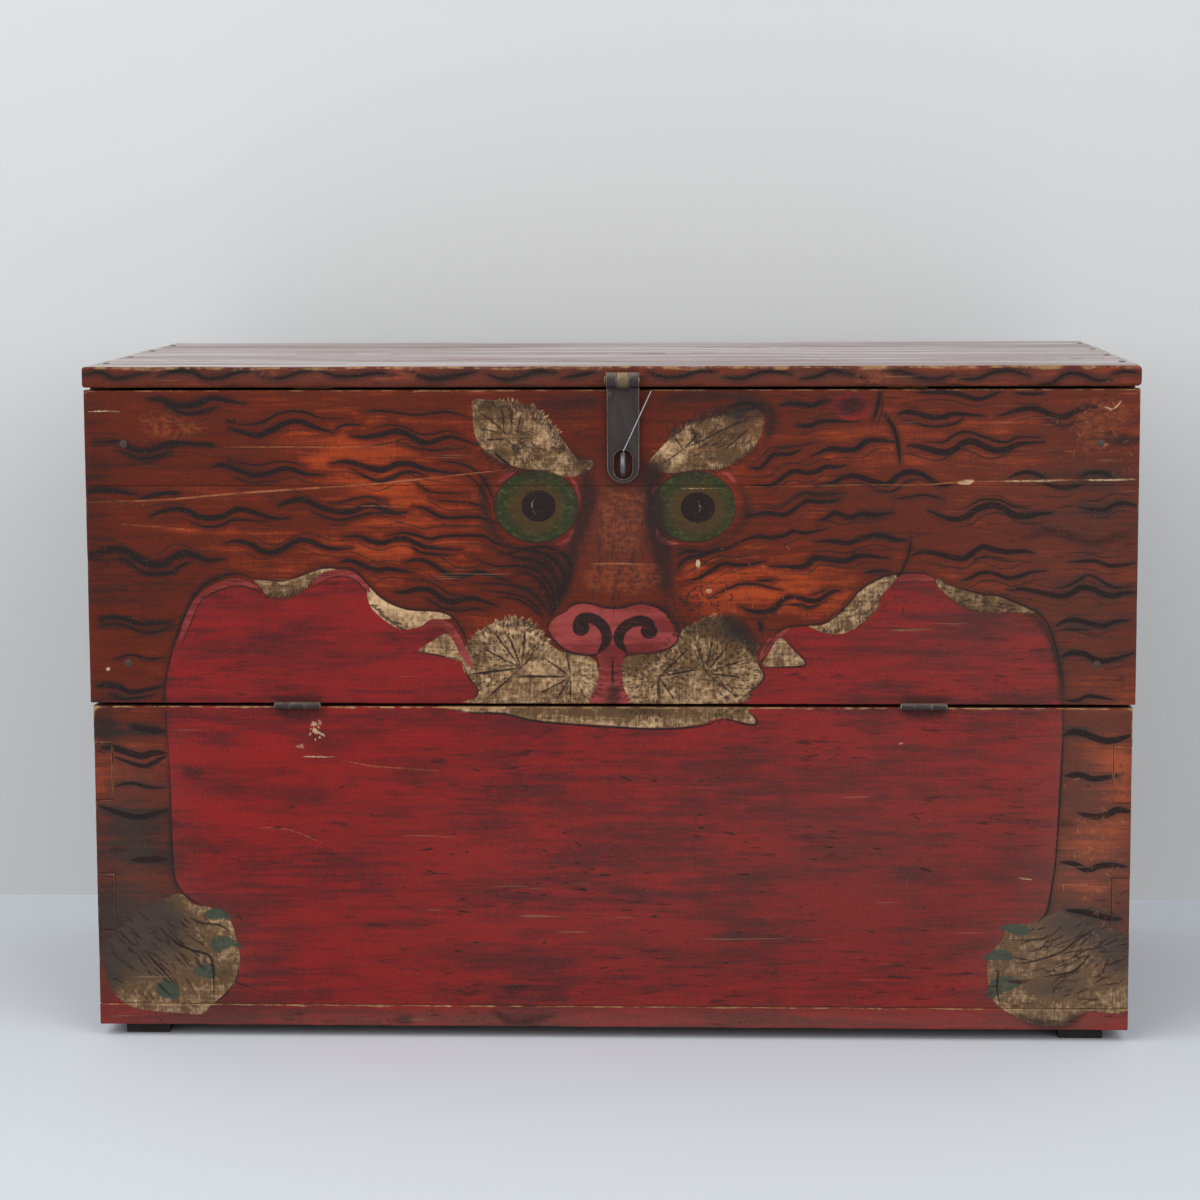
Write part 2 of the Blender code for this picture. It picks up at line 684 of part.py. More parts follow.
def build_staple(flap_upper, iron):
    """The staple, clenched inside the flap, and the holes for its two legs."""
    staple = bent_wire("staple", staple_points(), STAPLE_WIRE_RADIUS, iron)
    for name, turn in (("upper", 1.0), ("lower", -1.0)):
        height = STAPLE_Z + turn * STAPLE_SPAN / 2.0
        start = Vector((HASP_OFFSET, FRONT - CUT_MARGIN, height))
        end = Vector((HASP_OFFSET, FRONT_INSIDE + CUT_MARGIN, height))
        cut(flap_upper, rod(f"staple_hole_{name}", STAPLE_WIRE_RADIUS + FIT, start, end, STAPLE_HOLE_SIDES, iron))
    return staple


def hasp_rod(name, left, right, radius, iron):
    """A round bar on the hasp's axis, between two distances from its middle."""
    start = Vector((HASP_OFFSET + left, HASP_Y, HASP_Z))
    end = Vector((HASP_OFFSET + right, HASP_Y, HASP_Z))
    return rod(name, radius, start, end, BARREL_SIDES, iron)


def round_ended(half_width, low, high):
    """Outline with a straight top and a round lower end."""
    middle = low + half_width
    points = [(HASP_OFFSET - half_width, high)]
    for step in range(HASP_END_STEPS + 1):
        angle = math.pi + math.pi * step / HASP_END_STEPS
        points.append((HASP_OFFSET + half_width * math.cos(angle), middle + half_width * math.sin(angle)))
    points.append((HASP_OFFSET + half_width, high))
    return points


def slot_outline():
    """Outline of the hasp's slot, round at both ends."""
    half = SLOT_WIDTH / 2.0
    points = []
    for middle, start in ((SLOT_HIGH - half, 0.0), (SLOT_LOW + half, math.pi)):
        for step in range(HASP_END_STEPS + 1):
            angle = start + math.pi * step / HASP_END_STEPS
            points.append((HASP_OFFSET + half * math.cos(angle), middle + half * math.sin(angle)))
    return points


def build_hasp(top_front, iron):
    """The hasp's fixed knuckle in the top's edge, its slotted strap and its headed pin."""
    half = HASP_WIDTH / 2.0
    centre = HASP_CENTRE_KNUCKLE / 2.0
    outer = centre + KNUCKLE_GAP
    bore_end = half + CUT_MARGIN
    bore_radius = HASP_PIN_RADIUS + FIT

    anchor = hasp_rod("hasp_anchor", -centre, centre, HASP_KNUCKLE_RADIUS, iron)
    tang_half = centre - LEAF_END_EASE
    tang_low = (HASP_OFFSET - tang_half, HASP_Y, HASP_Z - TANG_HEIGHT / 2.0)
    tang_high = (HASP_OFFSET + tang_half, TOP_FRONT + TANG_DEPTH, HASP_Z + TANG_HEIGHT / 2.0)
    join(anchor, box("hasp_tang", tang_low, tang_high, iron))
    cut(anchor, hasp_rod("hasp_anchor_bore", -bore_end, bore_end, bore_radius, iron))
    mortise_low = [value - FIT for value in tang_low]
    mortise_high = [value + FIT for value in tang_high]
    cut(top_front, box("hasp_mortise", mortise_low, mortise_high, iron))

    outline = round_ended(half - LEAF_END_EASE, HASP_Z - HASP_REACH, HASP_Z)
    strap = along_y("hasp_strap", outline, STRAP_FRONT, STRAP_BACK, iron)
    cut(strap, along_y("hasp_slot", slot_outline(), STRAP_FRONT - CUT_MARGIN, STRAP_BACK + CUT_MARGIN, iron))
    clear = HASP_KNUCKLE_RADIUS + KNUCKLE_GAP
    room = outer + LEAF_END_EASE
    room_low = (HASP_OFFSET - room, HASP_Y - clear, HASP_Z - clear)
    cut(strap, box("hasp_room", room_low, (HASP_OFFSET + room, HASP_Y + clear, HASP_Z + clear), iron))
    for name, left, right in (("left", -half, -outer), ("right", outer, half)):
        join(strap, hasp_rod(f"hasp_knuckle_{name}", left, right, HASP_KNUCKLE_RADIUS, iron))
    cut(strap, hasp_rod("hasp_strap_bore", -bore_end, bore_end, bore_radius, iron))

    head_start = Vector((HASP_OFFSET - half - FIT - HASP_PIN_HEAD, HASP_Y, HASP_Z))
    shank_end = HASP_PIN_HEAD + FIT + HASP_WIDTH + HINGE_PIN_STICKOUT
    profile = [
        (HASP_PIN_CROWN_RADIUS, 0.0), (HASP_PIN_HEAD_RADIUS, HASP_PIN_HEAD / 2.0),
        (HASP_PIN_HEAD_RADIUS, HASP_PIN_HEAD), (HASP_PIN_RADIUS, HASP_PIN_HEAD), (HASP_PIN_RADIUS, shank_end),
    ]
    pin = turned("hasp_pin", profile, head_start, RIGHT, BARREL_SIDES, iron)
    return [strap, pin]


def build_keeper_wire(bright):
    """A bent wire hooked through the top of the hasp's slot, up to the right in front of the strap."""
    lift = FIT + WIRE_RADIUS
    front = STRAP_FRONT - lift
    back = STRAP_BACK + lift
    under = SLOT_HIGH - lift
    hook_x = HASP_OFFSET + WIRE_RADIUS
    end = Vector((HASP_OFFSET + WIRE_RIGHT, front, HASP_Z - WIRE_TOP_DROP))
    bend = Vector((hook_x + lift, front, SLOT_HIGH + lift))
    points = [
        Vector((hook_x, back, SLOT_HIGH + WIRE_TAIL)), Vector((hook_x, back, SLOT_HIGH)),
        Vector((hook_x, back - WIRE_RADIUS / 2.0, under - WIRE_RADIUS)),
        Vector((hook_x, front + WIRE_RADIUS / 2.0, under - WIRE_RADIUS)),
        Vector((hook_x, front, SLOT_HIGH)), bend, end,
    ]
    return bent_wire("keeper_wire", points, WIRE_RADIUS, bright)


def hang_on_axis(name, place, pieces):
    """Parent the pieces of a moving body to an empty on its joint's axis."""
    pivot = bpy.data.objects.new(name, None)
    pivot.location = place
    bpy.context.scene.collection.objects.link(pivot)
    for piece in pieces:
        piece.parent = pivot
        piece.matrix_parent_inverse.translation = -place


def main():
    """Build the trunk."""
    clear_scene()
    paint = finish("painted_front", (0.22, 0.045, 0.03), 0.5)
    lacquer = finish("lacquered_boards", (0.12, 0.04, 0.03), 0.45)
    raw_wood = finish("bare_wood", (0.30, 0.20, 0.12), 0.8)
    iron = finish("dark_iron", (0.10, 0.095, 0.09), 0.5, 1.0)
    bright = finish("bright_wire", (0.6, 0.6, 0.6), 0.3, 1.0)

    sides = build_side_boards(lacquer)
    front_panel = build_front_panel(paint)
    build_back_boards(lacquer)
    build_bottom(sides, lacquer, raw_wood, iron)
    planks = build_top(sides, lacquer, raw_wood, iron)
    flap_upper, flap_lower, flap_pieces = build_flap(paint, raw_wood, iron)
    flap_pieces += build_hinges(front_panel, flap_lower, iron)
    flap_pieces.append(build_staple(flap_upper, iron))
    hasp_pieces = build_hasp(planks[0], iron)
    hasp_pieces.append(build_keeper_wire(bright))
    hang_on_axis("flap_axis", Vector((0.0, HINGE_Y, HINGE_Z)), flap_pieces)
    hang_on_axis("hasp_axis", Vector((HASP_OFFSET, HASP_Y, HASP_Z)), hasp_pieces)


main()
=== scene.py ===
"""Looks of a painted trunk with a drop front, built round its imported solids.

Metres, +Z up, in the frame's own axes: the trunk faces -Y. Each board of the carcass is modelled again with
worn edges, cracks and dents. The painted front carries its picture as fields on the mesh: each coat's
distance to its nearest edge in millimetres, positive inside, which the materials turn into brushed edges.
"""

from __future__ import annotations

import logging
import math
from dataclasses import dataclass, field
from enum import Enum

import bmesh
import bpy
import numpy as np
from mathutils import Matrix, Vector
from mathutils.geometry import delaunay_2d_cdt


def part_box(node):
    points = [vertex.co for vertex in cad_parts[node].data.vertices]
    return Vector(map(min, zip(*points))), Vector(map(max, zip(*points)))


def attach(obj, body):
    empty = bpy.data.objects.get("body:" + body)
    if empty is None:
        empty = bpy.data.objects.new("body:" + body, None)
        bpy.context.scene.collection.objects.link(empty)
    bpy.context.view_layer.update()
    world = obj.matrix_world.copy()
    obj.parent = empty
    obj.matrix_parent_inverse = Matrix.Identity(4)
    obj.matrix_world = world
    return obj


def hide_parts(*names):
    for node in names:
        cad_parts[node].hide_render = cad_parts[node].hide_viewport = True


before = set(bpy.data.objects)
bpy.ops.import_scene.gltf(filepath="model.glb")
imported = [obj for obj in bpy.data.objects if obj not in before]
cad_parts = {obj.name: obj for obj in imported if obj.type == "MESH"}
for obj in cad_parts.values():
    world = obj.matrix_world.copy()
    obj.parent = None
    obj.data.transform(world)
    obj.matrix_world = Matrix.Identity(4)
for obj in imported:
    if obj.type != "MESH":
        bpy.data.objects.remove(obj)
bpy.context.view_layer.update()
LOG = logging.getLogger("trunk")
MM = 1000.0
LEAST_RUN = 1e-9

# A coat's field where none of its marks is near, in millimetres
FAR_OUTSIDE = -6.0

Pixel = tuple[float, float]
Place = tuple[float, float, float]
ScreenColour = tuple[int, int, int]
Colour = tuple[float, float, float, float]
Outline = list[tuple[float, float]]
Socket = bpy.types.NodeSocket
Outputs = bpy.types.NodeOutputs
Tree = bpy.types.NodeTree
Material = bpy.types.Material


def srgb(red: int, green: int, blue: int) -> Colour:
    """Turn a colour as a screen shows it, 0 to 255, into linear light.

    Args:
        red, green, blue: The three shares of the colour.

    Returns:
        The linear colour with full alpha.
    """
    shares = [value / 255.0 for value in (red, green, blue)]
    linear = [s / 12.92 if s <= 0.04045 else ((s + 0.055) / 1.055) ** 2.4 for s in shares]
    return (linear[0], linear[1], linear[2], 1.0)


def ripple(places: np.ndarray, wavelength: float, seed: int, octaves: int = 4) -> np.ndarray:
    """Smooth random waves, the same on each run.

    Args:
        places: Points as rows, of any dimension.
        wavelength: Length of the longest wave, in the points' unit.
        seed: Picks one pattern.
        octaves: Number of wave sizes, each half as long as the last.

    Returns:
        One value for each point, from about -1 to 1.
    """
    rng = np.random.default_rng(seed)
    total = np.zeros(len(places))
    weight = 0.0
    for octave in range(octaves):
        strength = 0.6**octave
        for _ in range(3):
            direction = rng.normal(size=places.shape[1])
            direction *= math.tau * 2.0**octave / wavelength / np.linalg.norm(direction)
            total += strength * np.sin(places @ direction + rng.uniform(0.0, math.tau))
        weight += strength * 1.5
    return total / weight


def smooth_line(points: np.ndarray, steps: int = 4, closed: bool = False) -> np.ndarray:
    """Lay a smooth curve through points.

    Args:
        points: Points as rows.
        steps: Number of short lines between two points.
        closed: Whether the curve comes back to its start.

    Returns:
        The curve's points; a closed curve doesn't repeat its first point.
    """
    if closed:
        padded = np.vstack([points[-1:], points, points[:2]])
    else:
        padded = np.vstack([2.0 * points[0] - points[1], points, 2.0 * points[-1] - points[-2]])
    made = []
    for before, start, end, after in zip(padded, padded[1:], padded[2:], padded[3:]):
        for share in np.arange(steps) / steps:
            bend = 2.0 * before - 5.0 * start + 4.0 * end - after
            swing = 3.0 * start - before - 3.0 * end + after
            made.append(0.5 * (2.0 * start + (end - before) * share + bend * share**2 + swing * share**3))
    if not closed:
        made.append(points[-1])
    return np.array(made)


def gap_to(spots: np.ndarray, line: np.ndarray, reach: float) -> np.ndarray:
    """Measure how far points lie from a closed line.

    Args:
        spots: Points as rows.
        line: The line's corners as rows.
        reach: The greatest distance looked for.

    Returns:
        The distances in the points' unit, none above the reach.
    """
    found = np.full(len(spots), reach)
    for start, end in zip(line, np.roll(line, -1, axis=0)):
        low, high = np.minimum(start, end) - reach, np.maximum(start, end) + reach
        close = np.all((spots > low) & (spots < high), axis=1)
        if close.any():
            run, offset = end - start, spots[close] - start
            share = np.clip(offset @ run / max(run @ run, LEAST_RUN), 0.0, 1.0)
            found[close] = np.minimum(found[close], np.linalg.norm(offset - share[:, None] * run, axis=1))
    return found


def lies_inside(spots: np.ndarray, line: np.ndarray) -> np.ndarray:
    """Tell which points lie inside a closed line; both are rows of points."""
    within = np.zeros(len(spots), bool)
    for start, end in zip(line, np.roll(line, -1, axis=0)):
        crosses = (start[1] > spots[:, 1]) != (end[1] > spots[:, 1])
        if crosses.any():
            slope = (end[0] - start[0]) / (end[1] - start[1])
            within ^= crosses & (spots[:, 0] < start[0] + (spots[:, 1] - start[1]) * slope)
    return within


def stand(name: str, data: bpy.types.ID) -> bpy.types.Object:
    """Set a mesh, a lamp or a camera in the scene."""
    item = bpy.data.objects.new(name, data)
    bpy.context.scene.collection.objects.link(item)
    return item


@dataclass(frozen=True)
class PhotoView:
    """The viewpoint of the photograph, and where its pixels fall on the trunk's front."""

    frame_px: float = 1200.0
    focal_px: float = 3226.0
    sensor_mm: float = 36.0
    place: Place = (0.1234, -3.4817, 0.8575)
    pitch_deg: float = 7.122
    yaw_deg: float = -2.355
    roll_deg: float = -0.235

    def axes(self) -> tuple[np.ndarray, np.ndarray, np.ndarray]:
        """Directions to the right of the picture, up it, and into it."""
        pitch, yaw, roll = (math.radians(angle) for angle in (self.pitch_deg, self.yaw_deg, self.roll_deg))
        into = np.array([math.sin(yaw) * math.cos(pitch), math.cos(yaw) * math.cos(pitch), -math.sin(pitch)])
        level = np.array([math.cos(yaw), -math.sin(yaw), 0.0])
        rise = np.cross(level, into)
        right = math.cos(roll) * level + math.sin(roll) * rise
        return right, math.cos(roll) * rise - math.sin(roll) * level, into

    def on_front(self, pixels: np.ndarray, front: float) -> np.ndarray:
        """Carry pixels onto the plane of the trunk's front.

        Args:
            pixels: Rows of (right, down) in the photograph's frame.
            front: The plane's place along Y, in metres.

        Returns:
            Rows of (x, z) in millimetres.
        """
        right, up, into = self.axes()
        offset = (np.asarray(pixels, float) - self.frame_px / 2.0) / self.focal_px
        rays = into + offset[:, :1] * right - offset[:, 1:] * up
        reach = (front - self.place[1]) / rays[:, 1]
        across, height = (self.place[axis] + reach * rays[:, axis] for axis in (0, 2))
        return MM * np.stack([across, height], axis=1)

    def make_camera(self) -> bpy.types.Object:
        """Set the scene's camera at the viewpoint."""
        right, up, into = self.axes()
        data = bpy.data.cameras.new("viewpoint")
        data.sensor_width = self.sensor_mm
        data.lens = self.sensor_mm * self.focal_px / self.frame_px
        camera = stand("viewpoint", data)
        turn = Matrix(np.stack([right, up, -into], axis=1).tolist()).to_4x4()
        camera.matrix_world = Matrix.Translation(self.place) @ turn
        bpy.context.scene.camera = camera
        return camera


class Coat(Enum):
    """Coats and marks of the painted front, each a field on the mesh under this name."""

    RED = "red"
    CREAM = "cream"
    PINK = "pink"
    GREEN = "green"
    GOLD = "gold"
    CLAW = "claw"
    WASH = "wash"
    INK = "ink"
    HAIR = "hair"
    STAIN = "stain"
    CHIP = "chip"
    CRACK = "crack"


class Stroke:
    """A brush stroke through pixels of the photograph, thin at its two ends."""

    TAPER = 0.30
    END_WIDTH = 0.25

    def __init__(self, width: float, *points: Pixel, steps: int = 4) -> None:
        """Keep the stroke's full width in millimetres, its pixels, and how finely its curve is cut."""
        self.width = width
        self.points = points
        self.steps = steps

    def lay(self, view: PhotoView, front: float) -> None:
        """Work out the stroke's line on the front, and its half width along it."""
        self.line = smooth_line(view.on_front(np.array(self.points), front), self.steps)
        share = np.linspace(0.0, 1.0, len(self.line))
        swell = np.clip(np.minimum(share, 1.0 - share) / self.TAPER, 0.0, 1.0)
        swell = swell * (2.0 - swell)
        self.half = self.width / 2.0 * (self.END_WIDTH + (1.0 - self.END_WIDTH) * swell)

    def raise_field(self, places: np.ndarray, values: np.ndarray) -> None:
        """Raise a coat's field where this stroke lies nearer than what is there."""
        margin = self.width / 2.0 - FAR_OUTSIDE
        near = np.all((places > self.line.min(0) - margin) & (places < self.line.max(0) + margin), axis=1)
        if not near.any():
            return
        spot = places[near][:, None, :]
        start, run = self.line[None, :-1], np.diff(self.line, axis=0)[None]
        share = np.clip(((spot - start) * run).sum(2) / (run**2).sum(2), 0.0, 1.0)
        gap = np.linalg.norm(spot - start - share[:, :, None] * run, axis=2)
        half = self.half[None, :-1] + share * np.diff(self.half)[None]
        values[near] = np.maximum(values[near], (half - gap).max(1))


class Area:
    """A painted area inside a closed outline of pixels, smooth or with straight sides."""

    def __init__(self, *points: Pixel, steps: int = 3) -> None:
        """Keep the outline's pixels, and how finely its curve is cut; 1 keeps straight sides."""
        self.points = points
        self.steps = steps

    def lay(self, view: PhotoView, front: float) -> None:
        """Work out the outline on the front."""
        self.line = smooth_line(view.on_front(np.array(self.points), front), self.steps, closed=True)

    def raise_field(self, places: np.ndarray, values: np.ndarray) -> None:
        """Raise a coat's field to the distance inside this outline."""
        low, high = self.line.min(0) + FAR_OUTSIDE, self.line.max(0) - FAR_OUTSIDE
        near = np.all((places > low) & (places < high), axis=1)
        if near.any():
            spot = places[near]
            gap = gap_to(spot, self.line, -FAR_OUTSIDE)
            values[near] = np.maximum(values[near], np.where(lies_inside(spot, self.line), gap, -gap))


def oval(middle: Pixel, half_width: float, half_height: float, count: int) -> list[Pixel]:
    """So many pixels once round an oval, given by its middle and its two half axes."""
    turns = [math.tau * step / count for step in range(count)]
    return [(middle[0] + half_width * math.cos(a), middle[1] + half_height * math.sin(a)) for a in turns]


def round_spot(middle: Pixel, half_width: float, half_height: float) -> Area:
    """An oval area about a pixel; its half axes are in pixels."""
    return Area(*oval(middle, half_width, half_height, OVAL_POINTS))


def ring(width: float, middle: Pixel, half_width: float, half_height: float) -> Stroke:
    """A stroke once round an oval; its arguments are those of Stroke and round_spot."""
    rim = oval(middle, half_width, half_height, RING_POINTS)
    return Stroke(width, *rim, rim[0])


# Sizes of the loose marks: counts of points, gaps in pixels, widths in millimetres, and a share
OVAL_POINTS = 12
RING_POINTS = 16
TICK_ROW = 6.5
TICK_GAP = 5.0
TICK_WIDTH = 1.8
FRINGE_GAP = 2.6
LID_CORE = 0.55
ECHO_LEAST = 3.25


@dataclass(frozen=True)
class TonePatch:
    """A soft oval where the ground coat is lighter or darker, in pixels of the photograph."""

    middle: Pixel
    half_width: float
    half_height: float
    strength: float


def strokes(*rows: tuple) -> tuple[Stroke, ...]:
    """Strokes from rows of a width and the pixels that it runs through."""
    return tuple(Stroke(width, *points) for width, *points in rows)


def fan(hub: Pixel, *rows: tuple) -> tuple[Stroke, ...]:
    """Strokes that all start at one pixel."""
    return strokes(*((width, hub, *points) for width, *points in rows))


def areas(*rows: tuple[Pixel, ...]) -> tuple[Area, ...]:
    """Areas from rows of pixels."""
    return tuple(Area(*points) for points in rows)


def patches(*rows: tuple[float, ...]) -> tuple[TonePatch, ...]:
    """Soft ovals from rows of a middle's two numbers, two half axes and a strength."""
    return tuple(TonePatch((right, down), *rest) for right, down, *rest in rows)


def ticks(middle: Pixel, nearest: float, farthest: float, turns: Pixel, seed: int) -> tuple[Stroke, ...]:
    """Rows of short dashes about a pixel, each pointing away from it.

    Args:
        middle: The pixel.
        nearest, farthest: Distance of the first and the last row, in pixels.
        turns: The first and the last direction in degrees, clockwise from the right.
        seed: Picks one pattern.

    Returns:
        The dashes.
    """
    rng = np.random.default_rng(seed)
    made = []
    for row in np.arange(nearest, farthest, TICK_ROW):
        for turn in np.arange(math.radians(turns[0]), math.radians(turns[1]), TICK_GAP / row):
            angle = turn + rng.normal(0.0, 0.3) * TICK_GAP / row
            aim = np.array([math.cos(angle), math.sin(angle)])
            start = np.array(middle) + aim * (row + rng.uniform(-1.5, 1.5))
            made.append(Stroke(TICK_WIDTH, start, start + aim * rng.uniform(3.0, 6.0)))
    return tuple(made)


def fringe(width: float, length: float, lean: float, seed: int, *points: Pixel) -> tuple[Stroke, ...]:
    """Loose hairs along a line; with no lean they point up from a line that runs to the right.

    Args:
        width: Each hair's width in millimetres.
        length: Its middle length in pixels.
        lean: How far the hairs turn clockwise, in degrees.
        seed: Picks one pattern.
        points: Pixels that the line passes through.

    Returns:
        The hairs.
    """
    rng = np.random.default_rng(seed)
    line = smooth_line(np.array(points, float), 12)
    walked = np.concatenate([[0.0], np.cumsum(np.linalg.norm(np.diff(line, axis=0), axis=1))])
    made = []
    for place in np.arange(0.0, walked[-1], FRINGE_GAP):
        near = max(1, int(np.searchsorted(walked, place)))
        run = line[near] - line[near - 1]
        angle = math.atan2(run[1], run[0]) + math.radians(lean - 90.0 + rng.normal(0.0, 14.0))
        aim = np.array([math.cos(angle), math.sin(angle)]) * length * rng.uniform(0.5, 1.3)
        start = line[near] - aim * rng.uniform(0.1, 0.4)
        made.append(Stroke(width, start, start + aim))
    return tuple(made)


def flecks(
    count: int, width: float, length: float, lean: float, seed: int, spot: TonePatch,
) -> tuple[Stroke, ...]:
    """Loose short strokes over a soft oval, whose strength is here their spread about one lean.

    Args:
        count: Number of strokes.
        width, length: Their middle width in millimetres and length in pixels.
        lean: Their middle direction in degrees, clockwise from the right.
        seed: Picks one pattern.
        spot: The oval.

    Returns:
        The strokes.
    """
    rng = np.random.default_rng(seed)
    made = []
    for _ in range(count):
        start = np.array(spot.middle) + rng.normal(0.0, 0.5, 2) * (spot.half_width, spot.half_height)
        angle = math.radians(lean + rng.normal(0.0, spot.strength))
        aim = np.array([math.cos(angle), math.sin(angle)]) * length * rng.uniform(0.5, 1.4)
        made.append(Stroke(width * rng.uniform(0.7, 1.3), start, start + aim))
    return tuple(made)


def echoes(strokes: tuple[Stroke, ...], seed: int) -> tuple[Stroke, ...]:
    """A thin line a little above or below each bold stroke."""
    rng = np.random.default_rng(seed)
    made = []
    for stroke in strokes:
        if stroke.width < ECHO_LEAST:
            continue
        for side in (1.0, -1.0)[: rng.integers(1, 3)]:
            shift = (rng.uniform(-8.0, 8.0), side * rng.uniform(7.0, 10.0))
            made.append(Stroke(rng.uniform(1.1, 1.9), *(np.array(stroke.points, float) + shift)))
    return tuple(made)


# Marks of the picture: a stroke's width in millimetres, then pixels of the photograph
FLAP_STRIPES_LEFT = strokes(
    (5.7, (149, 400), (161, 400), (170, 404), (183, 406), (197, 404), (211, 398), (223, 400), (247, 404)),
    (3.3, (166, 406), (180, 412), (194, 414), (218, 407)),
    (5.7, (228, 427), (252, 435), (264, 434), (288, 422), (302, 422), (314, 427), (334, 433)),
    (2.5, (228, 422), (245, 425), (262, 422), (278, 414), (293, 411), (307, 413), (321, 418), (350, 418)),
    (4.9, (94, 442), (120, 442), (130, 448), (144, 451), (156, 449), (170, 443), (183, 443), (211, 445)),
    (2.5, (118, 450), (144, 459), (171, 451)),
    (4.9, (214, 466), (226, 466), (252, 475), (266, 474), (280, 469), (292, 469), (306, 474), (324, 475)),
    (2, (228, 462), (259, 465), (275, 462), (290, 462), (304, 466)),
    (1.6, (235, 478), (252, 483), (278, 480)),
    (4.1, (87, 492), (102, 490), (137, 495)),
    (4.1, (138, 499), (166, 493), (180, 494)),
    (5.7, (149, 517), (163, 511), (176, 509), (188, 511), (197, 516), (209, 518), (223, 516), (235, 510),
     (245, 510), (273, 518), (290, 518)),
    (2.5, (192, 523), (207, 527), (223, 525), (235, 520), (269, 522)),
    (5.7, (278, 506), (290, 501), (304, 500), (325, 509), (350, 512), (370, 505), (394, 513), (407, 512)),
    (2.5, (311, 512), (338, 520), (373, 513), (402, 515)),
    (2, (330, 504), (359, 498), (371, 497), (387, 502)),
    (5.3, (225, 543), (238, 541), (252, 545), (262, 551), (275, 552), (297, 541), (309, 541), (321, 546),
     (335, 549), (352, 548)),
    (6.6, (90, 555), (106, 550), (123, 550), (144, 562), (154, 565), (166, 563), (176, 556), (187, 553),
     (207, 560), (226, 559)),
    (3.3, (121, 557), (145, 573), (170, 573), (180, 566), (192, 561)),
    (4.9, (101, 618), (114, 617), (128, 620), (140, 624), (173, 622)),
    (2.5, (99, 626), (114, 624), (128, 626), (138, 631), (151, 633), (175, 626)),
    (2.5, (114, 659), (132, 655), (149, 659), (168, 657)),
    (5.7, (97, 686), (109, 685), (121, 688), (133, 692), (164, 686)),
    (2.5, (111, 694), (125, 699), (154, 695)),
)
FLAP_STRIPES_MIDDLE = strokes(
    (2.5, (333, 431), (344, 425), (363, 425)),
    (2.5, (364, 412), (382, 411), (416, 415), (447, 412), (471, 418)),
    (5.7, (351, 436), (364, 437), (380, 435), (395, 431), (407, 434), (418, 440), (428, 443), (450, 437),
     (475, 444)),
    (2, (370, 430), (387, 425), (404, 427), (420, 434), (433, 434), (447, 431), (461, 435)),
    (2, (399, 442), (416, 448), (433, 450), (468, 448)),
    (5.7, (330, 463), (349, 462), (373, 469), (385, 469), (397, 464), (411, 464), (425, 469), (459, 474)),
    (3.3, (352, 469), (376, 481), (390, 479), (402, 473), (414, 472), (426, 476)),
    (2, (414, 481), (426, 490), (440, 493), (468, 493)),
    (2.5, (440, 461), (461, 464), (476, 471), (487, 485), (494, 502)),
    (2, (452, 470), (470, 477), (482, 490), (490, 507)),
    (3.7, (413, 506), (426, 509), (437, 515), (449, 518), (476, 517), (500, 524)),
    (2, (430, 500), (470, 503), (492, 510)),
    (4.9, (342, 537), (358, 536), (368, 540), (382, 543), (395, 539), (407, 539), (420, 545), (432, 548),
     (461, 550)),
    (3.3, (387, 536), (402, 533), (416, 535), (430, 539), (445, 536), (482, 536), (495, 543), (511, 548)),
    (2.5, (411, 545), (423, 553), (454, 555)),
    (4.9, (340, 562), (352, 561), (375, 570), (389, 569), (413, 573)),
    (4.9, (404, 562), (416, 560), (428, 562), (450, 575), (464, 576), (478, 572), (490, 575), (511, 582)),
    (5.7, (394, 592), (406, 592), (418, 589), (430, 590), (440, 597), (450, 602), (473, 598), (497, 606)),
    (1.6, (407, 581), (423, 580), (437, 586), (450, 594), (466, 595)),
    (2, (426, 598), (440, 607), (457, 611), (475, 609), (487, 611)),
)
CHEEK_LINES = strokes(
    (2.2, (468, 555), (494, 566), (519, 566), (537, 571), (549, 583), (554, 598), (552, 614)),
    (2.8, (499, 555), (528, 550), (547, 555), (561, 568), (564, 583), (552, 616)),
    (2.2, (511, 574), (531, 574), (543, 585), (550, 599), (549, 616)),
    (1.9, (480, 590), (523, 597), (547, 619)),
    (1.9, (492, 597), (516, 599), (533, 609), (545, 621)),
    (1.9, (470, 583), (500, 584), (524, 588), (540, 600), (548, 614)),
    (1.9, (486, 545), (512, 556), (534, 560), (550, 570), (558, 585), (556, 602)),
    (2.2, (500, 545), (520, 549), (545, 547), (566, 556), (570, 572), (564, 594)),
)
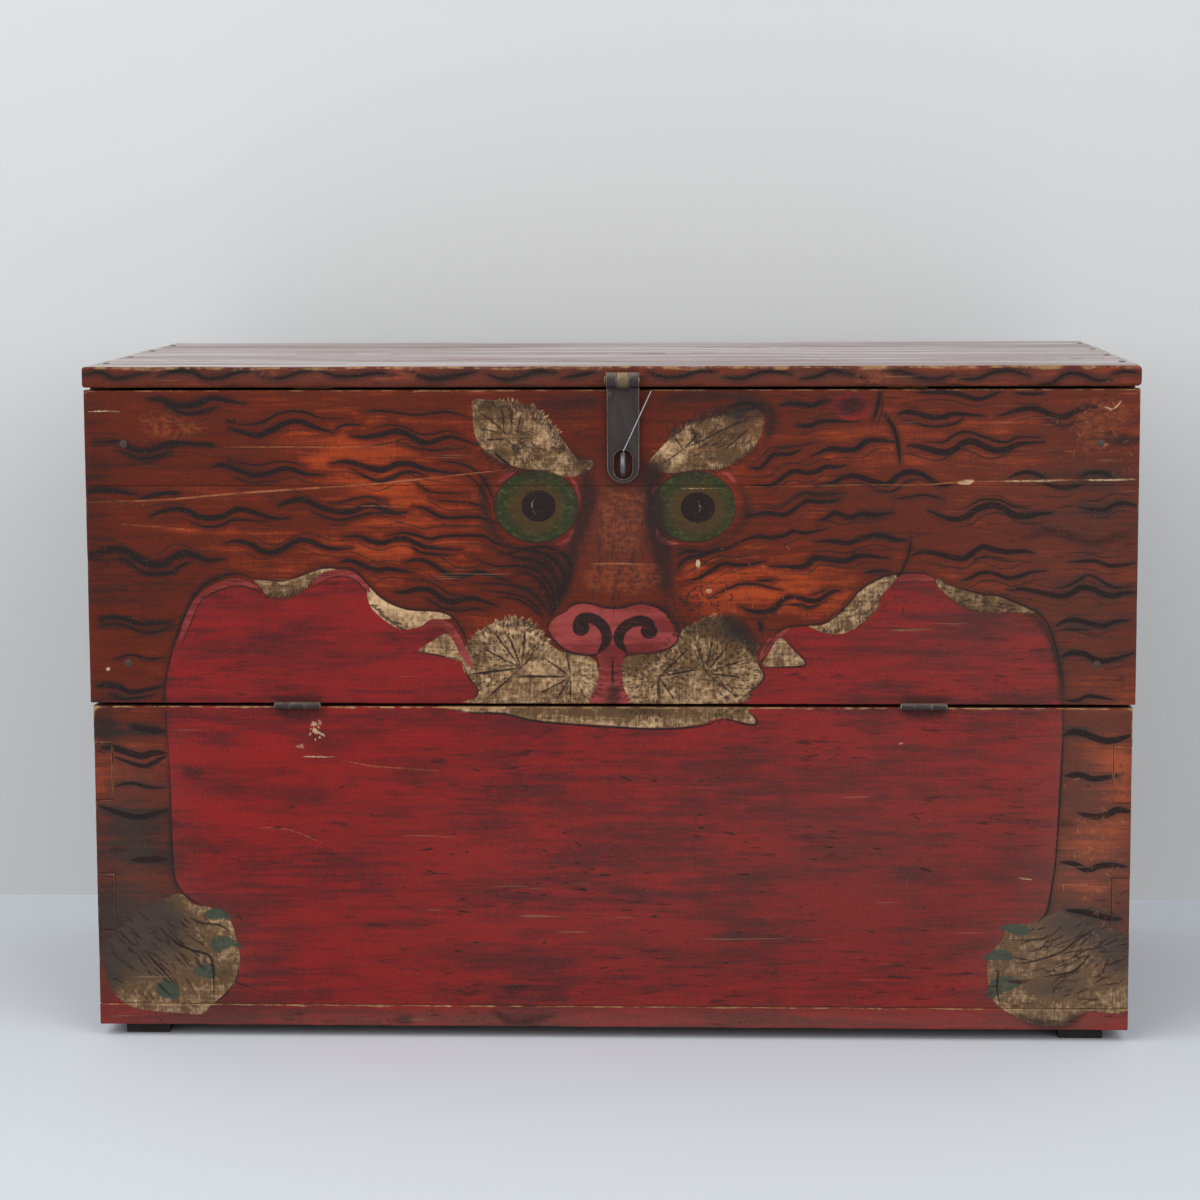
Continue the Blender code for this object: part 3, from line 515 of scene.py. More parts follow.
FLAP_STRIPES_RIGHT_OF_NOSE = strokes(
    (4.1, (780, 406), (790, 403), (811, 406), (821, 402), (830, 400)),
    (4.1, (797, 425), (809, 426), (818, 422), (828, 421), (859, 422)),
    (4.1, (749, 467), (760, 468), (772, 456), (780, 454), (790, 454), (801, 450)),
    (1.6, (768, 452), (784, 448), (799, 446), (815, 442)),
    (5.7, (811, 456), (830, 449), (844, 450), (856, 449), (864, 443), (873, 440), (897, 442)),
    (4.9, (754, 485), (772, 485), (787, 474), (797, 471), (808, 473), (818, 471), (825, 467), (837, 467),
     (847, 465)),
    (5.7, (815, 487), (832, 483), (842, 478), (856, 476), (875, 482), (888, 484), (898, 476), (909, 472),
     (921, 474), (940, 485), (951, 485)),
    (2, (870, 490), (884, 492), (896, 490), (905, 483), (916, 480)),
    (4.5, (747, 516), (766, 513), (782, 515), (792, 511), (801, 504), (809, 501), (820, 502), (833, 501),
     (842, 498)),
    (1.6, (765, 507), (780, 508), (802, 494), (820, 495), (844, 493)),
    (4.9, (818, 521), (828, 517), (835, 513), (849, 517), (861, 514), (873, 515), (893, 513)),
    (4.1, (727, 547), (754, 537), (771, 538), (785, 535), (794, 531), (806, 533), (827, 529)),
    (4.9, (815, 542), (832, 541), (849, 543), (870, 536), (884, 536), (896, 540), (907, 540)),
    (3.7, (677, 555), (692, 551), (706, 553), (740, 545)),
    (4.1, (677, 571), (682, 562), (691, 557), (701, 556), (716, 550), (730, 549)),
    (4.1, (685, 581), (701, 577), (722, 564), (734, 565), (746, 565), (766, 561)),
    (5.7, (770, 566), (799, 567), (808, 564), (816, 558), (844, 561), (859, 556), (890, 558)),
    (2.9, (710, 597), (732, 587), (744, 584), (760, 585), (784, 591)),
    (2.5, (756, 581), (775, 580)),
    (4.9, (740, 607), (751, 611), (763, 612), (773, 609), (789, 597), (815, 601), (832, 592), (840, 591)),
    (2.5, (789, 604), (802, 605), (809, 607), (820, 604)),
    (1.6, (808, 596), (830, 589)),
    (2.5, (864, 573), (876, 571), (890, 571)),
    (4.9, (759, 622), (761, 626), (761, 630)),
)
FLAP_STRIPES_RIGHT = strokes(
    (5.7, (898, 414), (910, 412), (931, 417), (944, 417), (954, 414), (986, 416)),
    (2.5, (903, 419), (928, 426), (944, 426), (956, 423), (965, 417)),
    (5.7, (998, 416), (1023, 409), (1037, 409), (1061, 417), (1082, 408), (1098, 407)),
    (1.6, (1042, 417), (1054, 424), (1065, 426), (1078, 420)),
    (4.9, (917, 393), (940, 392), (958, 394), (979, 399), (1000, 392)),
    (3.3, (1015, 393), (1030, 394), (1045, 393)),
    (6.6, (907, 446), (917, 446), (940, 452), (951, 451), (970, 441), (993, 450), (1007, 449), (1019, 444),
     (1045, 442)),
    (2.9, (923, 442), (944, 442), (954, 435), (968, 432), (993, 440), (1007, 442), (1019, 437),
     (1042, 438)),
    (2, (893, 500), (923, 495), (944, 500)),
    (6.6, (928, 511), (952, 519), (966, 517), (977, 509), (991, 505), (1003, 508), (1014, 515), (1028, 516),
     (1038, 514), (1052, 513)),
    (2.5, (968, 506), (982, 500), (1000, 500), (1012, 506), (1028, 509)),
    (4.1, (1080, 508), (1103, 510), (1114, 505), (1124, 503), (1139, 506)),
    (4.1, (1008, 478), (1024, 472), (1036, 474), (1046, 479)),
    (4.1, (1042, 483), (1063, 488), (1081, 485)),
    (4.1, (1080, 476), (1091, 473), (1103, 473), (1112, 477)),
    (5.7, (910, 556), (926, 552), (951, 557), (965, 558), (982, 547), (996, 550), (1010, 552), (1024, 551),
     (1034, 553)),
    (1.6, (973, 559), (989, 557), (1007, 559)),
    (4.1, (961, 581), (970, 578), (980, 573), (993, 573), (1007, 578), (1021, 576), (1031, 572),
     (1047, 571)),
    (4.1, (1068, 562), (1094, 561), (1112, 566), (1137, 563)),
    (2.5, (1054, 588), (1068, 586), (1079, 580), (1090, 575), (1110, 586), (1121, 588), (1137, 586)),
    (5.7, (1010, 591), (1023, 589), (1059, 596), (1072, 593), (1080, 588), (1093, 589), (1103, 594),
     (1114, 596), (1124, 593), (1138, 592)),
    (4.9, (1056, 626), (1065, 621), (1077, 620), (1101, 626), (1114, 622), (1130, 620)),
    (2, (1063, 629), (1089, 630)),
    (5.7, (1061, 657), (1072, 653), (1084, 654), (1094, 659), (1107, 661), (1137, 652)),
    (4.1, (1065, 701), (1079, 700), (1089, 696), (1115, 700)),
    (3.3, (880, 390), (878, 404), (873, 421)),
    (4.1, (884, 415), (893, 427), (898, 443), (900, 463)),
    (2.5, (911, 538), (908, 557), (899, 576)),
)
LEG_STRIPES = strokes(
    (6, (131, 726), (147, 730), (165, 731)),
    (7, (101, 748), (114, 748), (140, 756), (153, 753), (166, 753)),
    (5, (114, 757), (142, 766), (153, 763), (166, 756)),
    (3, (112, 787), (131, 783), (147, 787), (166, 788)),
    (6, (99, 806), (136, 817), (168, 810)),
    (6, (131, 860), (168, 859)),
    (7, (1063, 735), (1078, 732), (1107, 741), (1132, 735)),
    (6, (1065, 776), (1081, 775), (1094, 779), (1122, 775)),
    (7, (1078, 813), (1094, 817), (1107, 815), (1117, 810), (1132, 812)),
    (6, (1060, 862), (1074, 864), (1087, 870), (1100, 866), (1113, 865), (1128, 867)),
    (6, (1066, 910), (1087, 913), (1107, 918), (1122, 919)),
)
TOP_EDGE_STRIPES = strokes(
    (6, (85, 374), (101, 372), (111, 377), (121, 378), (149, 372)),
    (6.5, (160, 376), (175, 371), (193, 372), (205, 378), (223, 377), (239, 372), (249, 371)),
    (5, (254, 374), (270, 378), (286, 377), (300, 372), (314, 370)),
    (6, (320, 370), (336, 376), (356, 376), (376, 373), (392, 374)),
    (8, (408, 370), (424, 377), (442, 378), (478, 371)),
    (6, (486, 374), (503, 379), (521, 377), (538, 371), (556, 373)),
    (6, (562, 378), (596, 372)),
    (6, (648, 372), (664, 377), (682, 376), (700, 371), (716, 372)),
    (6, (724, 377), (742, 378), (758, 373), (775, 371), (792, 375)),
    (6, (800, 379), (818, 376), (834, 371), (868, 379)),
    (6, (884, 372), (900, 371), (918, 377), (936, 379), (954, 374)),
    (6, (960, 379), (978, 378), (994, 372), (1012, 371), (1030, 376)),
    (6, (1040, 384), (1052, 383), (1060, 377), (1069, 373), (1080, 374), (1097, 380), (1110, 379)),
    (5, (1112, 374), (1124, 371), (1138, 373)),
)
TOP_EDGE_CORES = tuple(Stroke(LID_CORE * stripe.width, *stripe.points) for stripe in TOP_EDGE_STRIPES)
TUFT_HAIRS = strokes(
    (1.8, (478, 411), (494, 423), (509, 437)),
    (1.8, (500, 402), (503, 416), (504, 430)),
    (1.8, (512, 407), (511, 430)),
    (1.8, (478, 428), (501, 433)),
    (1.6, (522, 411), (516, 436)),
    (1.6, (484, 440), (507, 439)),
    (3, (495, 452), (502, 460), (512, 466)),
    (2, (683, 450), (699, 433)),
    (1.8, (683, 450), (727, 428), (749, 419)),
    (1.6, (683, 450), (662, 464)),
    (1.6, (683, 450), (672, 432)),
    (1.6, (690, 424), (697, 441)),
    (3, (733, 405), (746, 403), (764, 406)),
    (2, (737, 412), (752, 408), (766, 410)),
    (1.6, (722, 452), (752, 426)),
)
WHISKERS = (
    fan((521, 668), (2, (493, 631)), (2, (507, 631)), (2, (524, 646), (525, 624)), (2, (480, 647)),
        (2.6, (466, 675)), (2, (485, 700)), (1.8, (533, 655)))
    + fan((571, 677), (2.6, (516, 676)), (1.8, (540, 655)), (2, (566, 650)), (1.8, (537, 695)),
          (2, (556, 700)), (2, (570, 701)))
    + fan((659, 677), (2, (689, 648)), (2, (703, 668)), (1.8, (675, 701)), (2, (658, 689), (659, 701)))
    + fan((706, 673), (2, (713, 636)), (2, (728, 645)), (1.8, (696, 642)), (2, (747, 659)), (2, (746, 678)),
          (1.8, (738, 698)))
)
PAW_LINES = strokes(
    (2, (190, 917), (202, 923), (219, 925), (231, 932)),
    (2.5, (159, 927), (177, 943), (192, 950), (208, 955), (213, 966), (214, 1001)),
    (2, (144, 950), (177, 986)),
    (1.6, (1004, 940), (1035, 940), (1054, 935)),
    (2, (1014, 964), (1035, 961), (1061, 952), (1077, 940), (1091, 933)),
    (2, (1044, 977), (1073, 971), (1089, 957)),
    (2, (999, 968), (997, 987), (1000, 1006)),
)
OUTLINES = strokes(
    (2, (164, 704), (166, 678), (175, 640), (190, 604), (199, 590), (213, 580), (232, 574), (245, 575),
     (256, 579)),
    (2, (254, 579), (287, 580), (318, 569), (337, 568), (355, 571), (382, 598), (407, 609), (438, 611),
     (452, 617), (462, 630), (470, 650), (478, 664)),
    (1.8, (763, 660), (767, 647), (785, 628), (827, 622), (849, 603), (859, 591), (873, 582), (890, 575),
     (918, 573), (933, 576)),
    (1.8, (936, 577), (949, 585), (982, 594), (1000, 596), (1031, 609), (1043, 618), (1052, 634),
     (1063, 680), (1063, 704)),
    (2, (166, 712), (170, 787), (173, 865), (178, 886), (190, 899), (205, 907)),
    (2, (1063, 711), (1062, 765), (1056, 856), (1052, 886), (1047, 912), (1037, 923)),
    (2, (549, 626), (554, 618), (566, 611), (573, 605), (586, 603), (607, 608), (622, 608), (632, 605),
     (644, 604), (658, 608), (668, 616), (677, 633), (677, 642), (667, 649), (651, 653), (634, 653),
     (623, 649)),
    (2, (607, 646), (597, 654), (584, 655), (568, 651), (556, 642), (549, 631)),
    (2, (418, 651), (463, 661)),
    (2, (782, 637), (806, 663), (789, 667), (763, 667)),
    (2, (462, 662), (469, 678), (478, 690), (471, 702)),
    (2, (758, 665), (764, 674), (760, 683), (738, 702)),
    (2.5, (458, 710), (475, 713), (505, 714), (543, 722), (650, 729), (700, 726), (722, 719)),
    (2.5, (722, 718), (750, 725), (757, 721), (748, 711)),
    (1.5, (240, 960), (236, 979), (224, 996), (208, 1008)),
    (1.6, (180, 650), (192, 620), (202.5, 600), (223, 589), (243, 586), (264, 595)),
    (1.6, (312, 588), (332.5, 577.5), (350, 577.5), (363, 587.6), (368, 595)),
    (2.2, (613, 656), (612.5, 672), (613, 688)),
)
NOSTRILS = (
    round_spot((581, 628), 8.5, 8),
    round_spot((649, 631), 8.5, 8),
)
NOSTRIL_CURLS = strokes(
    (11, (574, 626), (580, 619), (590, 618), (600, 623), (606, 632), (606, 642), (599, 652)),
    (11, (655, 629), (648, 622), (638, 621), (627, 625), (620, 633), (619, 642), (626, 652)),
)
PUPILS = (round_spot((538.6, 506), 17.3, 15.8), round_spot((697.8, 507.5), 17.3, 15.3))
# the second spot is painted shadow: dark paint on the flap inside the hasp's slot
WASH_SPOTS_AND_SLOT_SHADOW = (round_spot((852, 405), 12, 9), round_spot((622.5, 462), 8, 15))
SPOT_RIM = round_spot((851, 406), 19, 14.5)
EYES = (round_spot((536.5, 506.4), 41.8, 35.7), round_spot((694.2, 506.7), 41.3, 35))
IRIS_RINGS = (round_spot((535.5, 507.5), 27, 25), round_spot((697.5, 509), 29, 25))
CLAWS = areas(
    ((205, 914), (213, 908), (225, 911), (233, 920), (223, 918), (213, 921)),
    ((210, 942), (220, 936), (233, 939), (245, 950), (233, 946), (218, 953)),
    ((192, 971), (202, 964), (215, 966), (215, 978), (202, 977)),
    ((157, 985), (167, 979), (178, 986), (177, 999), (159, 996)),
    ((997, 931), (1004, 925), (1018, 924), (1029, 928), (1028, 935), (1016, 935), (1004, 930)),
    ((983, 960), (990, 952), (1002, 949), (1014, 957), (1009, 961), (995, 960)),
    ((988, 987), (997, 977), (1016, 977), (1021, 985), (1007, 991), (990, 999)),
)
RED_FIELD = Area((167, 708), (166, 690), (169, 668), (173, 652), (179, 636), (186, 620), (194, 608),
    (204, 598), (217, 590), (233, 587), (250, 589), (264, 594), (281, 596), (297, 592), (310, 584),
    (327, 576), (345, 573), (358, 578), (366, 592), (376, 606), (390, 620), (403, 628), (421, 626),
    (438, 628), (450, 637), (459, 650), (470, 668), (500, 680), (740, 680), (762, 668), (769, 650),
    (778, 637), (790, 629), (808, 627), (826, 630), (842, 624), (857, 610), (869, 595), (881, 586),
    (897, 582), (917, 580), (932, 583), (943, 592), (961, 602), (990, 609), (1012, 613), (1026, 619),
    (1038, 629), (1047, 639), (1052, 650), (1056, 665), (1059, 682), (1061, 704), (1062, 732), (1060, 765),
    (1058, 800), (1057, 840), (1055, 865), (1051, 888), (1045, 912), (1040, 935), (1060, 975), (1085, 1004),
    (1140, 1006), (1140, 1045), (90, 1045), (90, 986), (112, 988), (150, 975), (178, 935), (188, 905),
    (178, 888), (173, 866), (171, 830), (169, 787), (167, 745))
CREAM_AREAS = areas(
    ((473, 400), (490, 400), (504, 401), (518, 406), (535, 409), (547, 419), (569, 449), (578, 459),
     (592, 461), (590, 469), (576, 476), (559, 476), (537, 471), (512, 466), (495, 459), (483, 449),
     (475, 435), (473, 416)),
    ((648, 466), (652, 458), (668, 441), (679, 433), (690, 424), (717, 417), (741, 408), (756, 408),
     (763, 416), (763, 428), (752, 450), (728, 466), (712, 470), (690, 471), (668, 473)),
    ((254, 580), (269, 581), (287, 581), (318, 570), (337, 569), (318, 578), (309, 586), (297, 594),
     (283, 597), (268, 596), (261, 587)),
    ((370, 588), (382, 599), (407, 610), (438, 612), (452, 618), (433, 620), (421, 626), (399, 629),
     (373, 610), (367, 593)),
    ((808, 626), (815, 626), (827, 623), (849, 604), (859, 592), (873, 582), (890, 575), (897, 577),
     (891, 585), (882, 595), (877, 608), (868, 618), (852, 630), (839, 634), (825, 633)),
    ((937, 578), (949, 585), (982, 595), (1000, 597), (1016, 604), (1036, 612), (1028, 613), (1010, 612),
     (993, 613), (975, 611), (961, 605), (947, 595), (938, 586)),
    ((463, 652), (477, 633), (500, 621), (527, 622), (548, 642), (562, 652), (587, 656), (596, 662),
     (599, 677), (595, 691), (588, 703), (470, 703), (476, 698), (478, 691), (470, 679), (463, 668)),
    ((624, 659), (637, 655), (670, 649), (679, 638), (684, 629), (699, 622), (716, 617), (732, 622),
     (748, 634), (755, 648), (758, 665), (764, 673), (761, 682), (750, 693), (738, 703), (630, 703),
     (624, 691), (619, 675)),
    ((418, 651), (431, 642), (444, 634), (451, 637), (458, 650), (462, 661), (451, 659), (433, 654)),
    ((780, 637), (793, 650), (806, 663), (797, 666), (780, 667), (763, 666), (768, 655)),
    ((458, 704), (461, 711), (475, 713), (505, 713), (518, 718), (543, 722), (601, 725), (635, 728),
     (670, 728), (700, 725), (722, 718), (750, 724), (757, 721), (748, 711), (729, 704)),
    ((182, 894), (192, 904), (208, 907), (223, 912), (233, 927), (240, 960), (238, 973), (233, 986),
     (210, 1006), (202, 1014), (182, 1013), (156, 1011), (136, 1008), (121, 1000), (111, 988), (105, 970),
     (104, 945), (131, 919), (164, 899)),
    ((1047, 916), (1037, 921), (1025, 924), (1006, 926), (1004, 938), (992, 952), (988, 964), (988, 980),
     (992, 997), (999, 1006), (1014, 1016), (1030, 1023), (1051, 1026), (1070, 1023), (1087, 1011),
     (1130, 1008), (1130, 938), (1087, 924), (1063, 912)),
)
PINK_AREAS = areas(
    ((549, 626), (554, 618), (566, 611), (573, 605), (586, 603), (607, 608), (622, 608), (644, 603),
     (667, 614), (678, 633), (677, 642), (667, 650), (651, 654), (634, 654), (625, 654), (622, 670),
     (624, 688), (628, 703), (590, 703), (596, 688), (599, 670), (597, 655), (584, 655), (568, 651),
     (556, 642), (550, 633)),
    ((497, 484), (503, 475), (519, 468), (514, 474), (505, 480)),
    ((570, 477), (578, 486), (581.5, 503), (579.5, 511), (577, 495), (573, 484)),
    ((555, 544), (566, 539), (573.5, 528), (572, 538), (563, 545)),
    ((722, 472), (731, 474), (736, 483), (733, 482), (727, 476)),
    ((655.5, 526), (661, 535), (670, 541), (680, 543.5), (666, 545), (657, 538)),
    ((652, 496), (652, 488), (657, 485), (656, 491)),
)
RIMS = strokes(
    (8, (180, 640), (188, 620), (199, 600), (217.5, 587), (238, 582), (259, 588)),
    (7, (309, 586), (326, 575), (348, 574), (362, 583), (370, 592)),
    (8, (420, 629), (432, 623), (442, 624), (452, 631), (465, 655), (472, 668)),
    (6, (760, 660), (765, 650), (772, 640), (790, 628)),
    (7, (897, 580), (908, 577), (920, 577), (934, 580)),
)
LEG_RIM = strokes(
    (4.5, (1026, 612), (1038, 620), (1047, 632), (1059, 668), (1061, 704)),
)
SHADOWS = strokes(
    (14, (575, 530), (571, 560), (563, 585), (550, 618)),
    (20, (652, 478), (655, 515), (662, 552), (668, 596)),
    (17, (586, 466), (588, 495), (582, 520), (576, 545)),
    (15, (722, 616), (738, 624), (749, 640), (755, 655)),
    (9, (661, 401), (685, 396), (711, 396), (758, 393)),
    (9, (536, 404), (560, 405), (585, 402), (600, 403)),
    (12, (643, 462), (652, 474), (662, 478)),
    (9, (560, 446), (576, 458), (596, 466)),
    (10, (733, 408), (750, 404), (769, 408), (772, 424), (766, 440)),
    (9, (490, 470), (482, 490), (486, 515), (498, 537), (515, 549)),
    (8, (680, 549), (715, 545), (742, 525), (747, 505), (742, 488)),
    (9, (1023, 538), (1052, 531), (1093, 543), (1119, 536), (1138, 535)),
    (12, (1098, 441), (1112, 439), (1139, 441)),
    # painted shadow: the next four strokes darken the paint just above and below the two hinges
    (7, (275, 699), (300, 700), (322, 698)),
    (7, (905, 700), (925, 700), (948, 699)),
    (9, (276, 712), (300, 715), (323, 713)),
    (9, (905, 713), (925, 715), (948, 712)),
    (14, (614, 688), (613, 704)),
    (7, (184, 773), (202, 773)),
    (8, (397, 1020), (413, 1020)),
    (7, (495, 1012), (515, 1022), (552, 1016)),
    (8, (505, 990), (526, 987)),
    (9, (1012, 1014), (1040, 1023), (1062, 1024), (1084, 1014)),
)
STAINS = (
    Area((601, 490), (622, 492), (645, 490), (643, 520), (636, 548), (606, 548), (600, 520)),
    Area((592, 566), (655, 566), (652, 590), (590, 590)),
    Area((140, 418), (160, 412), (190, 420), (205, 430), (180, 438), (150, 436)),
    Area((1080, 402), (1110, 398), (1130, 410), (1120, 432), (1090, 455), (1078, 430)),
    Area((746, 416), (760, 416), (761, 436), (750, 444)),
    Area((252, 370), (279, 370), (276, 377), (254, 377)),
    Area((392, 369), (420, 370), (416, 378), (390, 377)),
    Area((857, 370), (890, 370), (886, 386), (856, 384)),
    round_spot((1123, 775), 8, 26),
    round_spot((1085, 845), 26, 12),
    round_spot((1100, 822), 26, 6),
)
PUPIL_CRESCENTS = strokes(
    (0.5, (536, 497), (532, 503), (533, 511), (537, 515)),
    (0.3, (698, 500), (700, 507), (699, 514)),
)
CHIPS = (
    round_spot((108, 669), 2.2, 1.8),
    round_spot((698, 564), 2.2, 4.5),
    round_spot((709, 591), 3, 2.4),
    round_spot((488, 680), 3, 2),
    Area((957, 483), (963, 480), (975, 480), (972, 483), (966, 485)),
    Stroke(0.7, (679, 488.7), (700, 488.6), (723, 488.8)),
    Stroke(1.6, (1002, 481), (1040, 481), (1070, 480)),
    Stroke(1.6, (1084, 480), (1110, 480), (1139, 479)),
    Stroke(1.4, (1108, 412), (1116, 407), (1122, 400)),
    Stroke(1.4, (1104, 407), (1112, 409)),
    Stroke(1.2, (899, 744), (904, 743)),
    Stroke(1.2, (1017, 878), (1034, 880)),
    Stroke(1.2, (444, 1005), (452, 1007)),
    Stroke(1.2, (300, 756.5), (335, 757)),
    Stroke(1.2, (86, 412), (104, 411), (120, 412)),
)
CHIP_FLECKS = (
    flecks(26, 1.7, 3.5, 40, 95, TonePatch((315, 726), 6, 13, 70))
    + flecks(8, 1.6, 3.0, 30, 96, TonePatch((299, 745), 4, 4, 70))
)
RUBBED_FLECKS = (
    flecks(60, 0.8, 5.0, 60, 97, TonePatch((1095, 955), 36, 50, 60))
    + flecks(50, 0.9, 6.0, 80, 98, TonePatch((1095, 840), 34, 60, 50))
    + flecks(50, 0.8, 6.0, 20, 99, TonePatch((1095, 440), 50, 50, 50))
    + flecks(40, 0.7, 5.0, 20, 100, TonePatch((750, 580), 60, 44, 70))
)
CRACKS = strokes(
    (1.9, (86, 502), (160, 500), (223, 494.5), (292, 489.4), (373, 484), (430, 478), (514, 469)),
    (1.2, (745, 487), (800, 486), (860, 485), (923, 485), (958, 482), (1004, 481), (1070, 480),
     (1139, 480)),
    (1.5, (588, 564), (612, 563.6), (636, 564), (660, 564.6)),
    (1.0, (335, 507), (370, 506), (406, 507)),
    (1.0, (640, 451), (683, 451), (720, 449)),
    (1.1, (341, 760), (372, 766), (400, 768), (440, 771)),
    (1.1, (254, 827), (290, 830), (322, 843)),
    (1.0, (397, 836), (430, 836), (466, 838)),
    (0.9, (223, 447), (300, 447), (386, 447)),
    (1.0, (120, 524), (160, 527), (199, 531)),
)
FINGER_MARKS = (
    Stroke(1.0, (111.5, 744), (112.8, 800)),
    Stroke(1.0, (97, 874), (114.5, 874), (115.8, 929), steps=1),
    Stroke(1.2, (1131, 747), (1114.4, 746.6), (1113.5, 803), steps=1),
    Stroke(1.2, (1112.3, 878.5), (1111.4, 934.6), (1129, 934.7), steps=1),
    Stroke(1.0, (1058, 884), (1085, 886), (1110, 887)),
)

# Soft changes of tone: a middle and two half axes in pixels, then a strength
GROUND_TONES = patches(
    (617, 560, 38, 46, -0.3), (400, 480, 95, 75, 0.55), (400, 570, 110, 35, 0.35), (270, 450, 90, 60, 0.25),
    (250, 560, 90, 40, 0.3), (770, 585, 75, 32, 0.75), (700, 600, 40, 22, 0.35), (830, 470, 70, 60, 0.25),
    (1000, 565, 110, 22, 0.3), (960, 430, 80, 45, 0.25), (620, 488, 40, 26, -0.5), (662, 562, 20, 46, -0.9),
    (654, 500, 13, 40, -0.8), (250, 376, 240, 12, 0.05), (620, 376, 240, 12, 0.05),
    (990, 376, 240, 12, 0.05), (200, 470, 130, 120, -0.2), (1092, 838, 40, 24, 0.55),
    (1120, 765, 16, 34, 0.7), (1095, 750, 30, 12, 0.5), (1085, 890, 26, 16, 0.6), (140, 755, 34, 16, 0.7),
    (138, 716, 30, 8, 0.5), (100, 785, 10, 22, 0.4), (145, 875, 34, 12, 0.45), (1090, 690, 30, 20, 0.4),
    (170, 430, 50, 20, 0.35), (92, 480, 22, 120, -0.55), (110, 640, 40, 50, -0.25),
    (1090, 460, 60, 50, -0.45), (1100, 640, 40, 60, -0.3), (1050, 525, 120, 14, -0.3),
    (620, 400, 150, 25, -0.35), (545, 590, 30, 40, -0.4), (680, 620, 30, 20, -0.6),
    (125, 733, 40, 10, -0.7), (104, 725, 16, 30, -0.8), (130, 828, 44, 36, -0.9), (125, 915, 60, 44, -1.2),
    (1075, 770, 20, 60, -0.4), (1080, 925, 56, 30, -1.0), (1115, 975, 30, 30, -0.6),
)
SHADES = patches(
    (290, 660, 100, 30, 0.5), (577, 650, 20, 10, 0.55), (647, 648, 20, 10, 0.55), (609, 656, 12, 26, 0.6),
    (748, 421, 24, 14, 0.5), (125, 905, 64, 36, 1.3), (138, 930, 36, 20, 0.9), (102, 960, 18, 50, 1.1),
    (130, 965, 24, 24, 0.4), (226, 974, 8, 7, 0.6), (1078, 925, 34, 18, 0.9), (1116, 948, 22, 32, 1.1),
    (1058, 988, 34, 11, 0.6), (488, 408, 20, 10, 0.5), (500, 455, 14, 8, 0.5), (540, 456, 18, 9, 0.4),
    (578, 468, 14, 7, 0.5), (655, 468, 14, 9, 1.0), (742, 412, 24, 7, 0.8), (725, 458, 22, 7, 0.35),
    (736, 632, 20, 16, 0.9), (706, 628, 26, 12, 0.55), (690, 662, 46, 26, 0.3), (476, 650, 12, 16, 0.45),
    (638, 664, 18, 12, 0.35), (610, 711, 110, 4, 0.42), (280, 592, 22, 8, 0.36), (520, 430, 46, 34, 0.3),
    (545, 440, 18, 14, -0.3), (715, 442, 46, 26, 0.5), (680, 448, 16, 12, -0.4), (560, 712, 90, 12, 0.32),
    (680, 712, 80, 12, 0.32), (285, 587, 40, 18, 0.25), (840, 605, 60, 36, 0.12), (985, 600, 60, 26, 0.35),
    (170, 960, 70, 55, 0.55), (1050, 972, 60, 50, 0.15), (388, 606, 34, 16, -0.6), (335, 580, 20, 10, 0.3),
    (520, 690, 60, 20, 0.25), (950, 900, 150, 110, 0.45), (700, 960, 170, 60, 0.45),
    (820, 830, 130, 80, 0.35), (480, 812, 50, 22, 0.5), (224, 742, 16, 14, 1.0), (222, 790, 24, 14, 0.5),
    (600, 790, 40, 16, 0.4), (505, 882, 44, 16, 0.45), (340, 940, 60, 50, 0.25), (980, 650, 80, 50, 0.35),
    (400, 745, 170, 40, -0.5), (255, 800, 70, 60, -0.4), (210, 880, 40, 40, -0.5),
)
DUSTS = patches(
    (1095, 600, 110, 170, 0.4), (980, 470, 230, 110, 0.25), (618, 530, 40, 50, 0.5),
    (128, 850, 50, 90, 0.6), (125, 760, 50, 50, 0.35), (1100, 790, 55, 90, 0.7), (1090, 880, 60, 50, 0.8),
    (160, 950, 90, 60, 0.8), (1070, 970, 90, 60, 1.2), (380, 1022, 330, 14, 0.9), (860, 1022, 330, 14, 0.9),
    (900, 830, 220, 150, 0.45), (600, 900, 220, 130, 0.3), (960, 640, 90, 60, 0.2),
    (350, 376, 330, 10, 0.5), (880, 376, 330, 10, 0.5),
)

